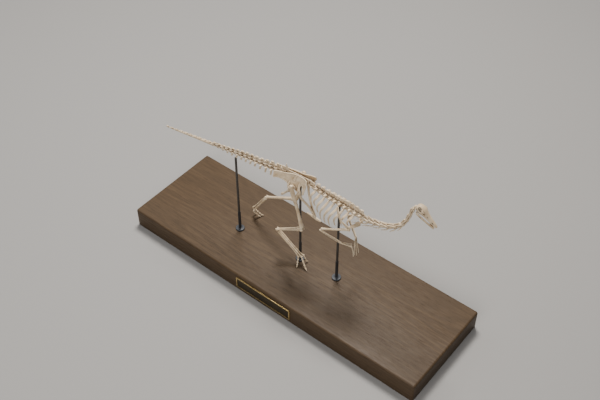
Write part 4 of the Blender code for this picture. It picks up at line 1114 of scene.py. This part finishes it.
def lower_jaw():
    """The slim lower jaw: two branches with a window each, joined at the tip of the beak."""
    bm, cutter = bmesh.new(), bmesh.new()
    both(limb, bm, JAW, [(0.7, 1.15), (0.8, 1.5), (0.8, 1.45), (0.9, 1.05)], 20, 14)
    both(ball, bm, (7, 4.4, -1.5), (0.8, 0.85, 0.7))
    limb(bm, [(26, 0, -2.7), (29.5, 0, -2.9), (32.4, 0, -3.1)], [(1.2, 0.5), (1.1, 0.7), (0.8, 0.8)], 6, 10)
    hole(cutter, *JAW_OPENING)
    cast("lower_jaw", bm, voxel=FINE_VOXEL, relax=2, cutter=cutter, into=HEAD_PLACE)


# ---------------------------------------------------------------- stand

def block(size, middle=(0, 0, 0)):
    bm = bmesh.new()
    bmesh.ops.create_cube(bm, size=1)
    bmesh.ops.scale(bm, vec=size, verts=bm.verts)
    bmesh.ops.translate(bm, vec=middle, verts=bm.verts)
    return bm


def soften(bm, edges, width, segments):
    """Rounds edges off."""
    bmesh.ops.bevel(bm, geom=edges, offset=width, offset_type="OFFSET", affect="EDGES",
                    segments=segments, profile=0.5, material=-1)


def highest(edge):
    return max(vert.co.z for vert in edge.verts)


def board():
    """The wooden board, its upper and upright edges softly rounded."""
    bm = block(BOARD_HIGH - BOARD_LOW, (BOARD_HIGH + BOARD_LOW) / 2)
    soften(bm, [edge for edge in bm.edges if highest(edge) > MM], BOARD_ROUND, 8)
    soften(bm, [edge for edge in bm.edges if highest(edge) < 0.01 * MM], BOARD_FOOT_EDGE, 2)
    add_piece("walnut_board", mesh_of("walnut_board", bm), WALNUT, "wood", "base_board", sharp=40)


def turned(name, profile, place, material, node_name):
    """A round piece: a profile of radius and height turned about an upright line, mm."""
    bm = bmesh.new()
    outline = [bm.verts.new((radius, 0, height)) for radius, height in profile]
    edges = [bm.edges.new(pair) for pair in zip(outline, outline[1:])]
    bmesh.ops.spin(bm, geom=edges, cent=(0, 0, 0), axis=(0, 0, 1), angle=tau, steps=40, use_merge=True)
    bmesh.ops.remove_doubles(bm, verts=bm.verts, dist=0.001)
    bmesh.ops.translate(bm, vec=place, verts=bm.verts)
    mesh = mesh_of(name, bm)
    mesh.transform(STAND)
    add_piece(name, mesh, material, "dark_metal", node_name, sharp=50)


def round_corner(radius, height, size):
    """A quarter round in a profile, from the side up to the top, at an outer corner."""
    turns = [pi / 2 * i / 5 for i in range(6)]
    return [(radius - size + size * cos(turn), height - size + size * sin(turn)) for turn in turns]


def support_rod(name):
    """A steel rod with a black sleeve on its foot and a round painted foot plate."""
    x, y, top = RODS[name]
    rod_foot, sleeve_foot, collar = SLEEVE_HEIGHT - 3, FOOT_HEIGHT - 0.4, FOOT_HEIGHT + 0.5
    rod = [(0, rod_foot), (ROD_RADIUS, rod_foot), *round_corner(ROD_RADIUS, top, 0.5), (0, top)]
    sleeve = [(0, sleeve_foot), (SLEEVE_RADIUS, sleeve_foot),
              *round_corner(SLEEVE_RADIUS, SLEEVE_HEIGHT, 0.25), (0, SLEEVE_HEIGHT)]
    plate = [(0, 0.02), (FOOT_RADIUS - 0.15, 0.02), (FOOT_RADIUS, 0.2),
             *round_corner(FOOT_RADIUS, FOOT_HEIGHT, 0.8), (SLEEVE_RADIUS + 0.9, FOOT_HEIGHT),
             (SLEEVE_RADIUS + 0.35, collar), (0, collar)]
    for part, profile, material in (("_steel", rod, STEEL), ("_sleeve", sleeve, SLEEVE),
                                    ("_foot", plate, FOOT_PAINT)):
        turned(name + part, profile, (x, y, 0), material, name)


def name_plate():
    """The blank brass plate: a bright raised rim round a dull sunk field."""
    low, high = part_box("name_plate")
    middle, size = (low + high) / 2, high - low
    bm = block(size)
    upright = [edge for edge in bm.edges if abs((edge.verts[0].co - edge.verts[1].co).y) > size.y / 2]
    soften(bm, upright, PLATE_CORNER, 5)
    front = min(bm.faces, key=lambda face: face.calc_center_median().y)
    for width, rise in ((PLATE_EDGE, PLATE_EDGE * 0.6), (PLATE_RIM, 0), (PLATE_EDGE, -PLATE_SINK)):
        bmesh.ops.inset_region(bm, faces=[front], thickness=width, depth=rise)
    front.material_index = 1
    lowest = min(vert.co.y for vert in bm.verts)
    bmesh.ops.translate(bm, vec=(middle.x, low.y - lowest, middle.z), verts=bm.verts)
    mesh = mesh_of("brass_plate", bm)
    add_piece("brass_plate", mesh, BRASS, "brass", "name_plate", sharp=30)
    mesh.materials.append(BRASS_FIELD)


# ---------------------------------------------------------------- studio

def camera():
    """Looks down on the board from its near right corner."""
    data = change(bpy.data.cameras.new("camera"), sensor_width=SENSOR_WIDTH, clip_start=0.05, clip_end=30,
                  lens=FOCAL_PIXELS / PIXELS_WIDE * SENSOR_WIDTH)
    item = bpy.context.scene.camera = show("camera", data)
    aim = Matrix.Rotation(LOOK_LEFT, 4, "Z") @ Matrix.Rotation(pi / 2 - LOOK_DOWN, 4, "X")
    item.matrix_world = Matrix.Translation(CAMERA_PLACE) @ aim @ Matrix.Rotation(CAMERA_ROLL, 4, "Z")


def studio():
    """A pale floor, three soft lights and a faint even sky."""
    bm = bmesh.new()
    bmesh.ops.create_grid(bm, x_segments=1, y_segments=1, size=6)
    bmesh.ops.translate(bm, vec=(0, 0, -0.05 * MM), verts=bm.verts)
    floor = show("studio_floor", mesh_of("studio_floor", bm))
    floor.data.materials.append(FLOOR)
    for name, (place, (width, depth), power, colour) in LIGHTS.items():
        data = change(bpy.data.lights.new(name, "AREA"), shape="RECTANGLE", size=width, size_y=depth,
                      energy=power, color=colour)
        aim = (Vector(LIGHT_TARGET) - Vector(place)).to_track_quat("-Z", "Y")
        change(show(name, data), location=place, rotation_mode="QUATERNION", rotation_quaternion=aim)
    world = bpy.data.worlds.new("studio")
    world.use_nodes = True
    sky = world.node_tree.nodes["Background"].inputs
    sky["Color"].default_value, sky["Strength"].default_value = WORLD_COLOUR, WORLD_STRENGTH
    bpy.context.scene.world = world


camera()
studio()
board()
name_plate()
for rod_name in RODS:
    support_rod(rod_name)
tail("tail_front", TAIL_DEEP, SACRUM_REAR)
tail("tail_middle", TAIL_THIN, TAIL_DEEP)
tail("tail_rear", TAIL_TIP, TAIL_THIN)
neck("neck_lower", NECK_BASE, NECK_MIDDLE, NECK_BASE_SPACING)
neck("neck_middle", NECK_MIDDLE, NECK_UPPER, NECK_SPACING)
neck("neck_upper", NECK_UPPER, NECK_TOP, NECK_SPACING)
for make_part in (back_vertebrae, sacrum, pubes, ischia, skull, cheek_bars, lower_jaw):
    make_part()
for each_side in SIDES:
    for make_part in (rib_side, ilium, femur, shin, foot, shoulder_blade, upper_arm, forearm, hand):
        make_part(each_side)
